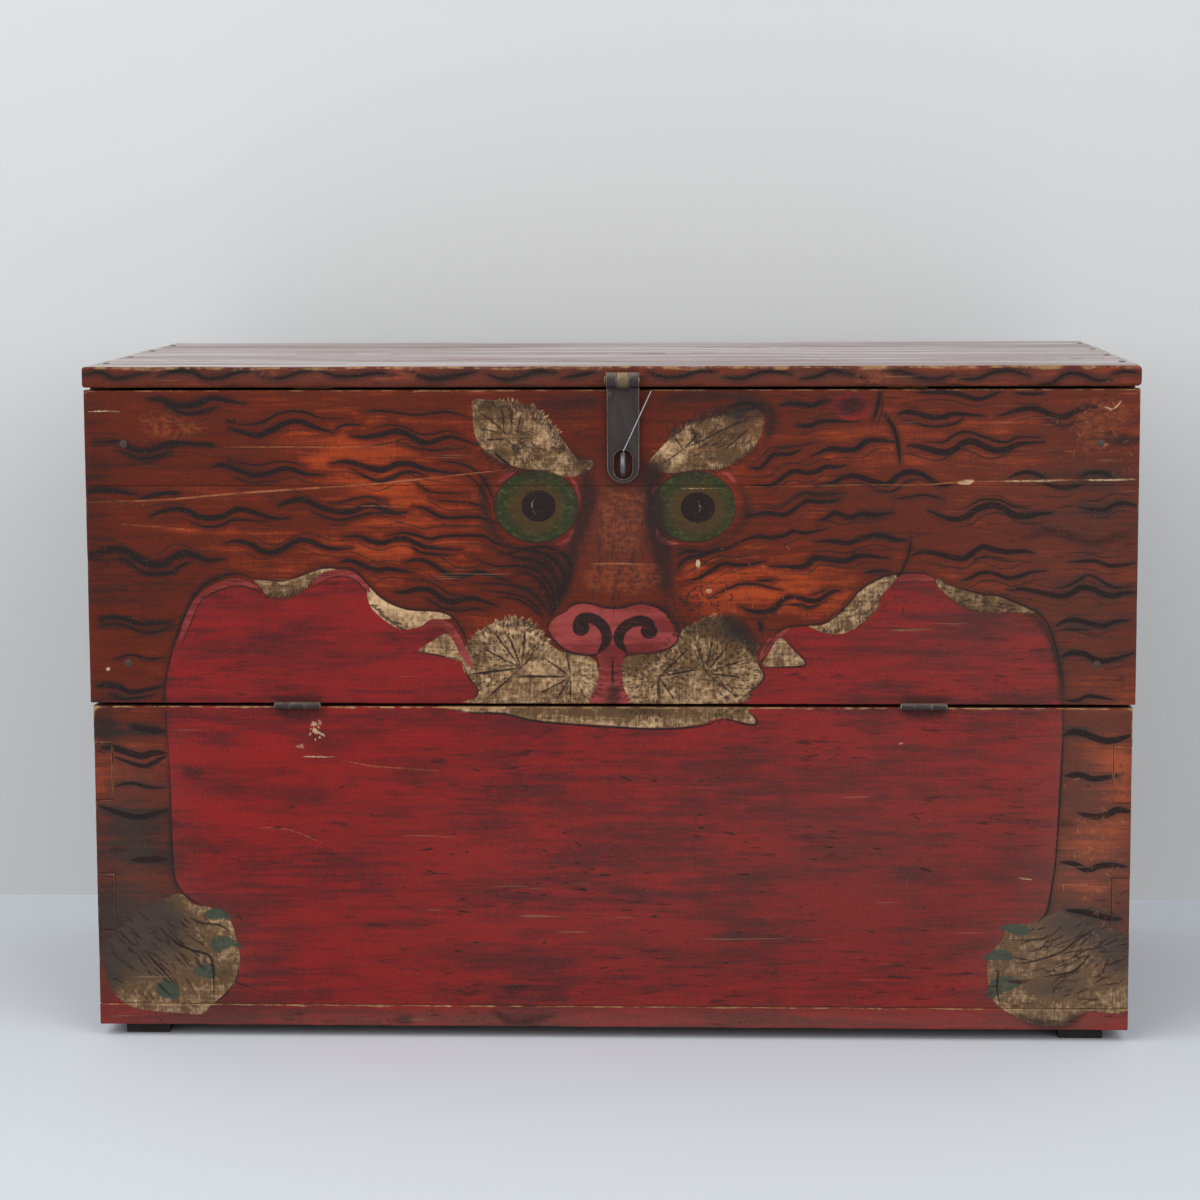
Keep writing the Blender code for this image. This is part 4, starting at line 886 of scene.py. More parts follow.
# Loose marks laid by a rule, each with a seed of its own
FUR_TICKS = (
    ticks((571, 677), 8, 32, (-30, 95), 61) + ticks((658, 677), 8, 42, (90, 200), 62)
    + ticks((658, 677), 8, 24, (200, 420), 63) + ticks((705.5, 674), 9, 50, (-180, 80), 64)
    + ticks((520, 668), 16, 48, (150, 330), 65)
)
DARK_HAIRS = (
    fringe(1.6, 16, 15, 86, (700, 421), (730, 410), (752, 406), (768, 414), (766, 432))
    + fringe(1.5, -13, -25, 71, (474, 404), (504, 401), (535, 409), (557, 433), (566, 447))
    + fringe(1.6, 11, 30, 72, (668, 441), (690, 424), (717, 417), (741, 410))
    + fringe(1.6, -12, 30, 73, (476, 440), (492, 458), (512, 467), (540, 474))
    + fringe(1.4, -9, -20, 74, (668, 473), (700, 471), (730, 464), (755, 446))
    + fringe(1.6, 8, 35, 75, (263, 597), (285, 598), (300, 592), (312, 585))
    + fringe(1.8, 10, 60, 76, (370, 604), (384, 617), (400, 628))
    + fringe(1.2, 8, 30, 77, (820, 632), (845, 631), (868, 617), (884, 592))
    + fringe(1.2, 6, 40, 78, (945, 594), (975, 611), (1010, 613))
    + fringe(1.3, -8, 10, 79, (468, 645), (484, 631), (512, 619), (532, 625), (546, 641))
    + fringe(1.4, -9, 10, 80, (684, 631), (714, 617), (740, 627), (755, 648))
    + flecks(70, 1.4, 8, 35, 81, TonePatch((522, 445), 38, 26, 25))
    + flecks(50, 1.3, 9, -35, 82, TonePatch((712, 443), 46, 18, 20))
    + flecks(130, 0.8, 18, 90, 83, TonePatch((617, 540), 40, 62, 4))
    + flecks(90, 1.4, 6, 30, 84, TonePatch((690, 600), 44, 26, 60))
    + flecks(40, 1.3, 7, -40, 85, TonePatch((852, 612), 40, 16, 25))
    + flecks(30, 1.2, 9, 20, 86, TonePatch((985, 600), 44, 10, 15))
    + flecks(60, 1.8, 7, 5, 87, TonePatch((640, 850), 420, 130, 12))
    + flecks(16, 2.6, 11, 3, 88, TonePatch((560, 880), 380, 110, 10))
    + flecks(90, 1.5, 16, 40, 89, TonePatch((150, 945), 60, 50, 12))
    + flecks(90, 1.5, 16, -25, 90, TonePatch((1070, 960), 60, 44, 16))
)
PALE_HAIRS = (
    fringe(1.6, 7, 10, 91, (468, 648), (484, 632), (512, 620), (532, 626), (546, 642))
    + fringe(1.4, 7, 10, 92, (684, 632), (714, 618), (740, 628), (755, 650))
    + fringe(1.6, 7, 15, 93, (476, 408), (504, 403), (535, 411), (556, 434))
    + fringe(1.5, 8, 20, 94, (668, 443), (690, 427), (717, 420), (741, 412))
)
EYE_RIMS = (ring(2.0, (536.5, 506.4), 42.3, 36.2), ring(2.0, (694.2, 506.7), 41.8, 35.5))
FLAP_STRIPES = FLAP_STRIPES_LEFT + FLAP_STRIPES_MIDDLE + FLAP_STRIPES_RIGHT_OF_NOSE + FLAP_STRIPES_RIGHT
ECHO_LINES = echoes(FLAP_STRIPES, 101)


class Painting:
    """The picture on the trunk's front: all its coats and marks, ready to be read at any point."""

    TONE_LIMIT = 1.2

    def __init__(self, view: PhotoView, front: float) -> None:
        """Lay every stroke and area on the front's plane."""
        self.marks = {
            Coat.RED: (RED_FIELD, SPOT_RIM),
            Coat.CREAM: CREAM_AREAS + PALE_HAIRS,
            Coat.PINK: PINK_AREAS + RIMS,
            Coat.GREEN: EYES,
            Coat.GOLD: IRIS_RINGS,
            Coat.CLAW: CLAWS,
            Coat.WASH: SHADOWS + LEG_RIM + WASH_SPOTS_AND_SLOT_SHADOW + TOP_EDGE_STRIPES,
            Coat.INK: (
                FLAP_STRIPES + CHEEK_LINES + LEG_STRIPES + TOP_EDGE_CORES + TUFT_HAIRS + WHISKERS + PAW_LINES
                + OUTLINES + NOSTRILS + NOSTRIL_CURLS + PUPILS
            ),
            Coat.HAIR: FUR_TICKS + DARK_HAIRS + ECHO_LINES + EYE_RIMS,
            Coat.STAIN: STAINS,
            Coat.CHIP: CHIPS + CHIP_FLECKS + PUPIL_CRESCENTS,
            Coat.CRACK: CRACKS + FINGER_MARKS + RUBBED_FLECKS,
        }
        for marks in self.marks.values():
            for mark in marks:
                mark.lay(view, front)
        self.tones = {}
        for name, patches in (("tone", GROUND_TONES), ("shade", SHADES), ("dust", DUSTS)):
            middles = view.on_front(np.array([patch.middle for patch in patches]), front)
            self.tones[name] = list(zip(middles, patches))

    def fields(self, places: np.ndarray) -> dict[str, np.ndarray]:
        """Read every coat at points of the front.

        Args:
            places: Rows of (x, z) in millimetres.

        Returns:
            For each coat's name, the distance inside it in millimetres, negative outside.
        """
        made = {}
        for coat, marks in self.marks.items():
            values = np.full(len(places), FAR_OUTSIDE)
            for mark in marks:
                mark.raise_field(places, values)
            made[coat.value] = values
        return made

    def tone(self, name: str, places: np.ndarray) -> np.ndarray:
        """How far a soft change of tone goes at points of the front, about -1 to 1."""
        total = np.zeros(len(places))
        for middle, patch in self.tones[name]:
            offset = (places - middle) / (patch.half_width, patch.half_height)
            total += patch.strength * np.exp(-(offset**2).sum(1))
        return np.clip(total, -self.TONE_LIMIT, self.TONE_LIMIT)


class Sheet:
    """A node tree with short ways to add nodes and join them."""

    def __init__(self, tree: Tree) -> None:
        """Work on one tree."""
        self.tree = tree

    def put(self, socket: Socket, value: object) -> None:
        """Link another node's socket into this one, or set a plain value on it."""
        if isinstance(value, Socket):
            self.tree.links.new(value, socket)
        else:
            socket.default_value = value

    def add(self, kind: str, inputs: dict | None = None, **settings: object) -> bpy.types.Node:
        """Add a node.

        Args:
            kind: The node's type.
            inputs: Values or sockets for its inputs, by name or number.
            settings: The node's own settings.

        Returns:
            The node.
        """
        node = self.tree.nodes.new(kind)
        for name, value in settings.items():
            setattr(node, name, value)
        for name, value in (inputs or {}).items():
            self.put(node.inputs[name], value)
        return node

    def math(self, operation: str, *values: object, use_clamp: bool = False) -> Socket:
        """Work out one number from up to three."""
        numbered = dict(enumerate(values))
        return self.add("ShaderNodeMath", numbered, operation=operation, use_clamp=use_clamp).outputs[0]

    def times(self, value: object, other: object) -> Socket:
        """Multiply two numbers, such as a mask and its strength."""
        return self.math("MULTIPLY", value, other)

    def lean(self, value: object, strength: float, base: object) -> Socket:
        """Move a base by how far a noise lies from its middle, as often as strength says."""
        return self.math("MULTIPLY_ADD", self.math("SUBTRACT", value, 0.5), strength, base)

    def span(
        self, value: object, low: object, high: object, to_low: float = 0.0, to_high: float = 1.0,
    ) -> Socket:
        """Rise smoothly from one number to another as a value crosses a span."""
        inputs = {"Value": value, "From Min": low, "From Max": high, "To Min": to_low, "To Max": to_high}
        return self.add("ShaderNodeMapRange", inputs, interpolation_type="SMOOTHSTEP").outputs[0]

    def mix(self, share: object, below: object, above: object) -> Socket:
        """Lay one colour over another by a share."""
        return self.add("ShaderNodeMix", {0: share, 6: below, 7: above}, data_type="RGBA").outputs[2]

    def noise(self, place: object, stretch: Place, detail: float = 3.0, rough: float = 0.55) -> Socket:
        """Cloudy random values, with so many clouds to a metre along each axis."""
        scaled = self.add("ShaderNodeVectorMath", {0: place, 1: stretch}, operation="MULTIPLY").outputs[0]
        inputs = {"Vector": scaled, "Scale": 1.0, "Detail": detail, "Roughness": rough}
        return self.add("ShaderNodeTexNoise", inputs).outputs["Fac"]

    def rise(self) -> Socket:
        """How far the surface looks up, from -1 to 1."""
        normal = self.add("ShaderNodeTexCoord").outputs["Normal"]
        return self.add("ShaderNodeSeparateXYZ", {0: normal}).outputs["Z"]

    def attribute(self, name: str) -> Socket:
        """Read a field from the mesh."""
        return self.add("ShaderNodeAttribute", attribute_name=name).outputs["Fac"]

    def group(self, tree: Tree, **inputs: object) -> Outputs:
        """Place a shared group with its own values, and give its outputs."""
        node = self.add("ShaderNodeGroup", node_tree=tree)
        for name, value in inputs.items():
            self.put(node.inputs[name], value)
        return node.outputs


def start_material(name: str) -> tuple[Material, Sheet, bpy.types.Node]:
    """Begin a material, and give it with its sheet and its shader."""
    material = bpy.data.materials.new(name)
    material.use_nodes = True
    return material, Sheet(material.node_tree), material.node_tree.nodes["Principled BSDF"]


class SharedEffects:
    """The effects that several finishes share, each built once as a node group."""

    def __init__(self) -> None:
        """Build the groups."""
        self.grain = self.build_grain()
        self.linen = self.build_linen()
        self.wear = self.build_wear()
        self.grime = self.build_grime()
        self.brushed = self.build_brushed()

    @staticmethod
    def start(
        name: str, inputs: dict[str, str], outputs: tuple[str, ...],
    ) -> tuple[Sheet, Outputs, bpy.types.NodeInputs]:
        """Begin a group.

        Args:
            name: The group's name.
            inputs: Each input's name and kind of socket.
            outputs: Names of its outputs, which are all plain values.

        Returns:
            The sheet to build on, the group's own inputs, and the sockets that take its outputs.
        """
        tree = bpy.data.node_groups.new(name, "ShaderNodeTree")
        for label, kind in inputs.items():
            tree.interface.new_socket(label, in_out="INPUT", socket_type=f"NodeSocket{kind}")
        for label in outputs:
            tree.interface.new_socket(label, in_out="OUTPUT", socket_type="NodeSocketFloat")
        sheet = Sheet(tree)
        return sheet, sheet.add("NodeGroupInput").outputs, sheet.add("NodeGroupOutput").inputs

    def build_grain(self) -> Tree:
        """Long streaks and pores of softwood along the first axis."""
        sheet, given, made = self.start("wood_grain", {"Place": "Vector"}, ("Tone", "Pores"))
        broad = sheet.noise(given["Place"], (2.2, 34.0, 34.0), 3.0)
        fine = sheet.noise(given["Place"], (7.0, 190.0, 190.0), 4.0, 0.65)
        sheet.put(made["Tone"], sheet.math("MULTIPLY_ADD", fine, 0.45, sheet.times(broad, 0.55)))
        pores = sheet.noise(given["Place"], (16.0, 620.0, 620.0), 2.0)
        sheet.put(made["Pores"], sheet.span(pores, 0.56, 0.70))
        return sheet.tree

    def build_linen(self) -> Tree:
        """Fine upright and level threads that show through old paint."""
        sheet, given, made = self.start("linen_threads", {"Place": "Vector"}, ("Threads",))
        upright = sheet.noise(given["Place"], (620.0, 620.0, 34.0), 2.0)
        level = sheet.noise(given["Place"], (34.0, 34.0, 560.0), 2.0)
        sheet.put(made["Threads"], sheet.math("MULTIPLY_ADD", upright, 0.6, sheet.times(level, 0.4)))
        return sheet.tree

    def build_wear(self) -> Tree:
        """Bare and rubbed places along a board's edges."""
        inputs = {"Place": "Vector", "Edge": "Float", "Reach": "Float"}
        sheet, given, made = self.start("edge_wear", inputs, ("Bare", "Rubbed"))
        patchy = sheet.noise(given["Place"], (70.0, 95.0, 95.0), 4.0, 0.65)
        limit = sheet.times(given["Reach"], sheet.span(patchy, 0.36, 0.66))
        sheet.put(made["Bare"], sheet.span(sheet.math("SUBTRACT", limit, given["Edge"]), 0.0, 0.7))
        wide = sheet.times(limit, 4.0)
        sheet.put(made["Rubbed"], sheet.span(sheet.math("SUBTRACT", wide, given["Edge"]), 0.0, 6.0))
        return sheet.tree

    def build_grime(self) -> Tree:
        """Soft dirt, dark dashes along the boards and pale scratches."""
        sheet, given, made = self.start("old_grime", {"Place": "Vector"}, ("Soil", "Dashes", "Scratches"))
        soil = sheet.noise(given["Place"], (7.0, 20.0, 34.0), 5.0, 0.66)
        sheet.put(made["Soil"], sheet.span(soil, 0.46, 0.70))
        dashes = sheet.noise(given["Place"], (34.0, 130.0, 190.0), 4.0, 0.62)
        where = sheet.noise(given["Place"], (6.0, 12.0, 14.0), 2.0)
        dashed = sheet.times(sheet.span(dashes, 0.55, 0.68), sheet.span(where, 0.42, 0.60))
        sheet.put(made["Dashes"], dashed)
        lines = sheet.noise(given["Place"], (10.0, 300.0, 430.0), 1.0)
        sparse = sheet.noise(given["Place"], (9.0, 30.0, 40.0), 2.0)
        scratched = sheet.times(sheet.span(lines, 0.68, 0.74), sheet.span(sparse, 0.58, 0.66))
        sheet.put(made["Scratches"], scratched)
        return sheet.tree

    def build_brushed(self) -> Tree:
        """Share of a coat that shows, from its distance field, with brushed and ragged edges."""
        inputs = {"Place": "Vector", "Distance": "Float", "Softness": "Float", "Ragged": "Float"}
        sheet, given, made = self.start("brushed_edge", inputs, ("Share",))
        rough = sheet.noise(given["Place"], (260.0, 400.0, 520.0), 3.0, 0.6)
        shift = sheet.times(sheet.math("SUBTRACT", rough, 0.5), given["Ragged"])
        moved = sheet.math("ADD", given["Distance"], shift)
        below = sheet.times(given["Softness"], -1.0)
        sheet.put(made["Share"], sheet.span(moved, below, given["Softness"]))
        return sheet.tree


class GrainAxis(Enum):
    """The axis that a board's grain runs along, as the turn that brings it to the first axis."""

    ALONG_X = (0.0, 0.0, 0.0)
    ALONG_Y = (0.0, 0.0, math.pi / 2.0)
    ALONG_Z = (0.0, math.pi / 2.0, 0.0)


@dataclass(frozen=True)
class WoodColours:
    """Bare aged softwood."""

    pale: Colour = srgb(158, 122, 84)
    deep: Colour = srgb(106, 76, 50)
    pore: Colour = srgb(70, 48, 34)


@dataclass(frozen=True)
class LacquerColours:
    """Worn red-brown lacquer of the top, the sides and the back."""

    light: Colour = srgb(104, 48, 38)
    dark: Colour = srgb(62, 32, 29)
    soil: Colour = srgb(46, 31, 29)
    rubbed: Colour = srgb(150, 102, 70)
    # painted sheen: the pale colour of light reflected off the polished top, painted on
    painted_sheen: Colour = srgb(206, 197, 194)


@dataclass(frozen=True)
class PaintColours:
    """Coats of the painted front."""

    ground_light: Colour = srgb(153, 60, 25)
    ground: Colour = srgb(87, 31, 17)
    ground_dark: Colour = srgb(38, 25, 23)
    red_bright: Colour = srgb(144, 24, 24)
    red: Colour = srgb(126, 29, 29)
    red_dark: Colour = srgb(84, 28, 29)
    cream: Colour = srgb(202, 166, 126)
    cream_dark: Colour = srgb(88, 64, 40)
    cream_shadow: Colour = srgb(48, 40, 36)
    pink: Colour = srgb(106, 38, 36)
    pink_light: Colour = srgb(140, 60, 57)
    green: Colour = srgb(40, 46, 27)
    green_light: Colour = srgb(74, 72, 36)
    gold: Colour = srgb(66, 49, 28)
    claw: Colour = srgb(34, 60, 51)
    ink: Colour = srgb(31, 23, 23)
    hair: Colour = srgb(42, 31, 27)
    shadow: Colour = srgb(40, 28, 26)
    stain: Colour = srgb(150, 82, 46)
    chip: Colour = srgb(186, 156, 122)
    worn: Colour = srgb(158, 124, 84)
    crack: Colour = srgb(164, 102, 66)
    soil: Colour = srgb(54, 29, 28)
    dust: Colour = srgb(106, 90, 80)


class BoardFinish:
    """Wood, lacquer and paint of the boards; which of them shows comes from fields on the mesh.

    COAT_EDGES gives how far each coat's edge fades and how ragged it is, in millimetres.
    """

    COAT_EDGES = {
        Coat.RED: (0.5, 1.0), Coat.CREAM: (0.6, 2.4), Coat.PINK: (0.6, 1.4), Coat.GREEN: (0.6, 1.0),
        Coat.GOLD: (5.5, 3.0), Coat.CLAW: (1.0, 3.0), Coat.WASH: (5.5, 5.0), Coat.INK: (0.7, 1.5),
        Coat.HAIR: (0.55, 0.8), Coat.STAIN: (5.0, 9.0), Coat.CHIP: (0.5, 1.6), Coat.CRACK: (0.5, 0.8),
    }

    def __init__(self, effects: SharedEffects, axis: GrainAxis, painted: bool) -> None:
        """Remember the shared effects, the grain's axis, and whether the picture lies on it."""
        self.effects = effects
        self.axis = axis
        self.painted = painted
        self.wood = WoodColours()
        self.lacquer = LacquerColours()
        self.paint = PaintColours()

    def build(self, name: str) -> Material:
        """Make the material."""
        material, sheet, shader = start_material(name)
        place = sheet.add("ShaderNodeTexCoord").outputs["Object"]
        turned = sheet.add("ShaderNodeMapping", {"Vector": place, "Rotation": self.axis.value}).outputs[0]
        seed = sheet.attribute("seed")
        turned = sheet.add("ShaderNodeVectorMath", {0: turned, 1: seed}, operation="ADD").outputs[0]
        grain = sheet.group(self.effects.grain, Place=turned)
        grime = sheet.group(self.effects.grime, Place=turned)
        worn = {"Edge": sheet.attribute("edge"), "Reach": sheet.attribute("wear")}
        wear = sheet.group(self.effects.wear, Place=turned, **worn)
        wood = self.wood_colour(sheet, grain)
        outside = self.lacquer_colour(sheet, grain, grime, wear, wood)
        height = grain["Pores"]
        shown = sheet.attribute("outside")
        glossy = shown
        if self.painted:
            picture, relief = self.picture_colour(sheet, place, grime)
            picture = sheet.mix(sheet.times(wear["Rubbed"], 0.22), picture, self.paint.stain)
            picture = sheet.mix(wear["Bare"], picture, sheet.mix(0.25, self.paint.worn, wood))
            front = sheet.attribute("front")
            outside = sheet.mix(front, outside, picture)
            height = sheet.math("MULTIPLY_ADD", front, relief, sheet.times(height, 0.4))
            glossy = sheet.math("SUBTRACT", shown, front)
        sheet.put(shader.inputs["Base Color"], sheet.mix(shown, wood, outside))
        rough = sheet.span(grain["Tone"], 0.25, 0.75, 0.42, 0.60)
        raw_rough = sheet.math("MULTIPLY_ADD", sheet.math("SUBTRACT", 1.0, shown), 0.35, rough)
        sheet.put(shader.inputs["Roughness"], raw_rough)
        shader.inputs["Specular IOR Level"].default_value = 0.12
        polish = sheet.span(grain["Tone"], 0.40, 0.56, 0.42, 0.32)
        glossy = sheet.times(glossy, sheet.attribute("gloss"))
        sheet.put(shader.inputs["Coat Weight"], sheet.math("MULTIPLY", glossy, polish, use_clamp=True))
        shader.inputs["Coat Roughness"].default_value = 0.45
        shader.inputs["Coat IOR"].default_value = 1.62
        bump = sheet.add("ShaderNodeBump", {"Height": height, "Strength": 0.35, "Distance": 0.0006})
        sheet.put(shader.inputs["Normal"], bump.outputs[0])
        return material

    def wood_colour(self, sheet: Sheet, grain: Outputs) -> Socket:
        """Colour of the bare wood."""
        body = sheet.mix(sheet.span(grain["Tone"], 0.30, 0.70), self.wood.deep, self.wood.pale)
        return sheet.mix(sheet.times(grain["Pores"], 0.45), body, self.wood.pore)

    def lacquer_colour(
        self, sheet: Sheet, grain: Outputs, grime: Outputs, wear: Outputs, wood: Socket,
    ) -> Socket:
        """Colour of the lacquer, rubbed through to the wood along its edges, with a painted sheen on its
        upward faces.
        """
        body = sheet.mix(sheet.span(grain["Tone"], 0.32, 0.68), self.lacquer.dark, self.lacquer.light)
        body = sheet.mix(sheet.times(grime["Soil"], 0.7), body, self.lacquer.soil)
        body = sheet.mix(sheet.times(grime["Dashes"], 0.6), body, self.lacquer.soil)
        body = sheet.mix(sheet.times(grime["Scratches"], 0.5), body, self.lacquer.rubbed)
        body = sheet.mix(sheet.times(wear["Rubbed"], 0.4), body, self.lacquer.rubbed)
        # painted sheen: polished upward faces turn pale where the grain is light, standing in for reflected
        # light
        painted_sheen = sheet.times(sheet.attribute("gloss"), sheet.span(grain["Tone"], 0.38, 0.60, 0.92, 0.32))
        painted_sheen = sheet.times(painted_sheen, sheet.span(sheet.rise(), 0.4, 0.8))
        body = sheet.mix(painted_sheen, body, self.lacquer.painted_sheen)
        return sheet.mix(wear["Bare"], body, wood)

    def coat(self, sheet: Sheet, place: Socket, name: Coat) -> Socket:
        """Share of one coat that shows."""
        softness, ragged = self.COAT_EDGES[name]
        inputs = {"Distance": sheet.attribute(name.value), "Softness": softness, "Ragged": ragged}
        return sheet.group(self.effects.brushed, Place=place, **inputs)["Share"]

    def picture_colour(
        self, sheet: Sheet, place: Socket, grime: Outputs,
    ) -> tuple[Socket, Socket]:
        """Colour and relief of the painted front, coat by coat."""
        paint = self.paint
        threads = sheet.group(self.effects.linen, Place=place)["Threads"]
        clouds = sheet.noise(place, (7.0, 7.0, 14.0), 5.0, 0.62)
        streaks = sheet.noise(place, (14.0, 14.0, 170.0), 4.0, 0.6)
        flecked = sheet.noise(place, (150.0, 150.0, 210.0), 4.0, 0.7)
        shade = sheet.attribute("shade")
        halo = sheet.span(sheet.attribute(Coat.INK.value), -5.5, 0.5, 0.0, -0.6)
        tone = sheet.math("ADD", sheet.attribute("tone"), halo)
        tone = sheet.lean(clouds, 2.4, tone)
        tone = sheet.lean(streaks, 1.9, tone)
        tone = sheet.lean(threads, 1.35, tone)
        colour = sheet.mix(sheet.span(tone, 0.0, 1.2), paint.ground, paint.ground_light)
        colour = sheet.mix(sheet.span(tone, 0.0, -1.2), colour, paint.ground_dark)
        red_tone = sheet.lean(clouds, 1.4, sheet.lean(streaks, 1.2, sheet.lean(threads, 0.9, 0.58)))
        red = sheet.mix(sheet.span(red_tone, 0.25, 0.75), paint.red_dark, paint.red)
        red = sheet.mix(sheet.times(sheet.span(shade, 0.0, -1.0), 0.8), red, paint.red_bright)
        red = sheet.mix(sheet.times(grime["Soil"], 0.6), red, paint.soil)
        red = sheet.mix(sheet.times(sheet.span(shade, 0.1, 1.2), 0.7), red, paint.soil)
        colour = sheet.mix(self.coat(sheet, place, Coat.RED), colour, red)
        mottled = sheet.noise(place, (84.0, 84.0, 84.0), 4.0, 0.68)
        cream_tone = sheet.math("MULTIPLY_ADD", shade, -0.42, 0.5)
        tufted = sheet.noise(place, (260.0, 260.0, 210.0), 3.0, 0.62)
        cream_tone = sheet.lean(mottled, 0.9, sheet.lean(tufted, 0.55, cream_tone))
        cream_tone = sheet.lean(flecked, 0.35, sheet.lean(threads, 0.7, cream_tone))
        cream = sheet.mix(sheet.span(cream_tone, 0.26, 0.88), paint.cream_dark, paint.cream)
        cream = sheet.mix(sheet.span(sheet.lean(mottled, 0.8, shade), 0.35, 1.15), cream, paint.cream_shadow)
        colour = sheet.mix(self.coat(sheet, place, Coat.CREAM), colour, cream)
        pink_tone = sheet.lean(clouds, 1.5, streaks)
        pink = sheet.mix(sheet.span(pink_tone, 0.35, 0.7), paint.pink, paint.pink_light)
        pink = sheet.mix(sheet.times(sheet.span(shade, 0.1, 1.0), 0.75), pink, paint.red_dark)
        colour = sheet.mix(self.coat(sheet, place, Coat.PINK), colour, pink)
        claw = self.coat(sheet, place, Coat.CLAW)
        colour = sheet.mix(sheet.times(claw, 0.85), colour, paint.claw)
        green = sheet.mix(sheet.span(flecked, 0.45, 0.75), paint.green, paint.green_light)
        colour = sheet.mix(self.coat(sheet, place, Coat.GREEN), colour, green)
        gold = sheet.mix(sheet.span(flecked, 0.50, 0.90), paint.gold, paint.green_light)
        colour = sheet.mix(self.coat(sheet, place, Coat.GOLD), colour, gold)
        colour = sheet.mix(sheet.times(sheet.attribute("dust"), 0.25), colour, paint.dust)
        wash = sheet.times(self.coat(sheet, place, Coat.WASH), sheet.span(flecked, 0.2, 0.6, 0.55, 0.9))
        colour = sheet.mix(wash, colour, paint.shadow)
        hair = self.coat(sheet, place, Coat.HAIR)
        colour = sheet.mix(sheet.times(hair, 0.85), colour, paint.hair)
        dry = sheet.span(sheet.noise(place, (60.0, 60.0, 620.0), 2.0), 0.25, 0.5, 0.78, 0.97)
        ink = self.coat(sheet, place, Coat.INK)
        colour = sheet.mix(sheet.times(ink, dry), colour, paint.ink)
        stain = self.coat(sheet, place, Coat.STAIN)
        stain = sheet.times(stain, sheet.span(flecked, 0.38, 0.68))
        colour = sheet.mix(sheet.times(stain, 0.38), colour, paint.stain)
        colour = sheet.mix(sheet.times(grime["Dashes"], 0.8), colour, paint.soil)
        colour = sheet.mix(sheet.times(grime["Scratches"], 0.16), colour, paint.chip)
        broken = sheet.span(sheet.noise(place, (60.0, 60.0, 60.0), 3.0), 0.36, 0.58, 0.3, 0.95)
        crack = sheet.times(self.coat(sheet, place, Coat.CRACK), broken)
        colour = sheet.mix(sheet.times(crack, 0.75), colour, paint.crack)
        chip = self.coat(sheet, place, Coat.CHIP)
        colour = sheet.mix(sheet.times(chip, broken), colour, paint.chip)
        grit = sheet.lean(threads, 0.6, sheet.noise(place, (330.0, 330.0, 420.0), 4.0, 0.7))
        colour = sheet.mix(sheet.times(sheet.span(grit, 0.54, 0.76), 0.5), colour, paint.shadow)
        colour = sheet.mix(sheet.times(sheet.span(grit, 0.42, 0.22), 0.16), colour, paint.worn)
        relief = sheet.math("MULTIPLY_ADD", threads, 0.5, sheet.times(streaks, 0.3))
        return colour, relief


@dataclass(frozen=True)
class IronFinish:
    """Worn iron or another plain finish: three colours, the middle roughness and the share of bare metal."""

    body: Colour
    rust: Colour
    # worn is the colour of rubbed metal, and also of the painted highlight on upward faces
    worn: Colour
    roughness: float
    metallic: float

    def build(self, name: str) -> Material:
        """Make the material."""
        material, sheet, shader = start_material(name)
        place = sheet.add("ShaderNodeTexCoord").outputs["Object"]
        cloudy = sheet.noise(place, (90.0, 90.0, 60.0), 5.0, 0.65)
        pits = sheet.noise(place, (700.0, 700.0, 700.0), 3.0, 0.6)
        colour = sheet.mix(sheet.span(cloudy, 0.48, 0.70), self.body, self.rust)
        rubbed = sheet.times(sheet.span(cloudy, 0.42, 0.25), sheet.span(pits, 0.4, 0.65))
        # painted highlight: upward faces lean to the worn colour, lighter on top as if lit from above
        upper = sheet.times(sheet.span(sheet.rise(), 0.3, 0.85), sheet.span(cloudy, 0.7, 0.4, 0.3, 0.9))
        rubbed = sheet.math("MAXIMUM", rubbed, upper)
        sheet.put(shader.inputs["Base Color"], sheet.mix(rubbed, colour, self.worn))
        rough = sheet.span(cloudy, 0.3, 0.7, self.roughness - 0.08, self.roughness + 0.14)
        sheet.put(shader.inputs["Roughness"], rough)
        shader.inputs["Metallic"].default_value = self.metallic
        bump = sheet.add("ShaderNodeBump", {"Height": pits, "Strength": 0.25, "Distance": 0.0003})
        sheet.put(shader.inputs["Normal"], bump.outputs[0])
        return material


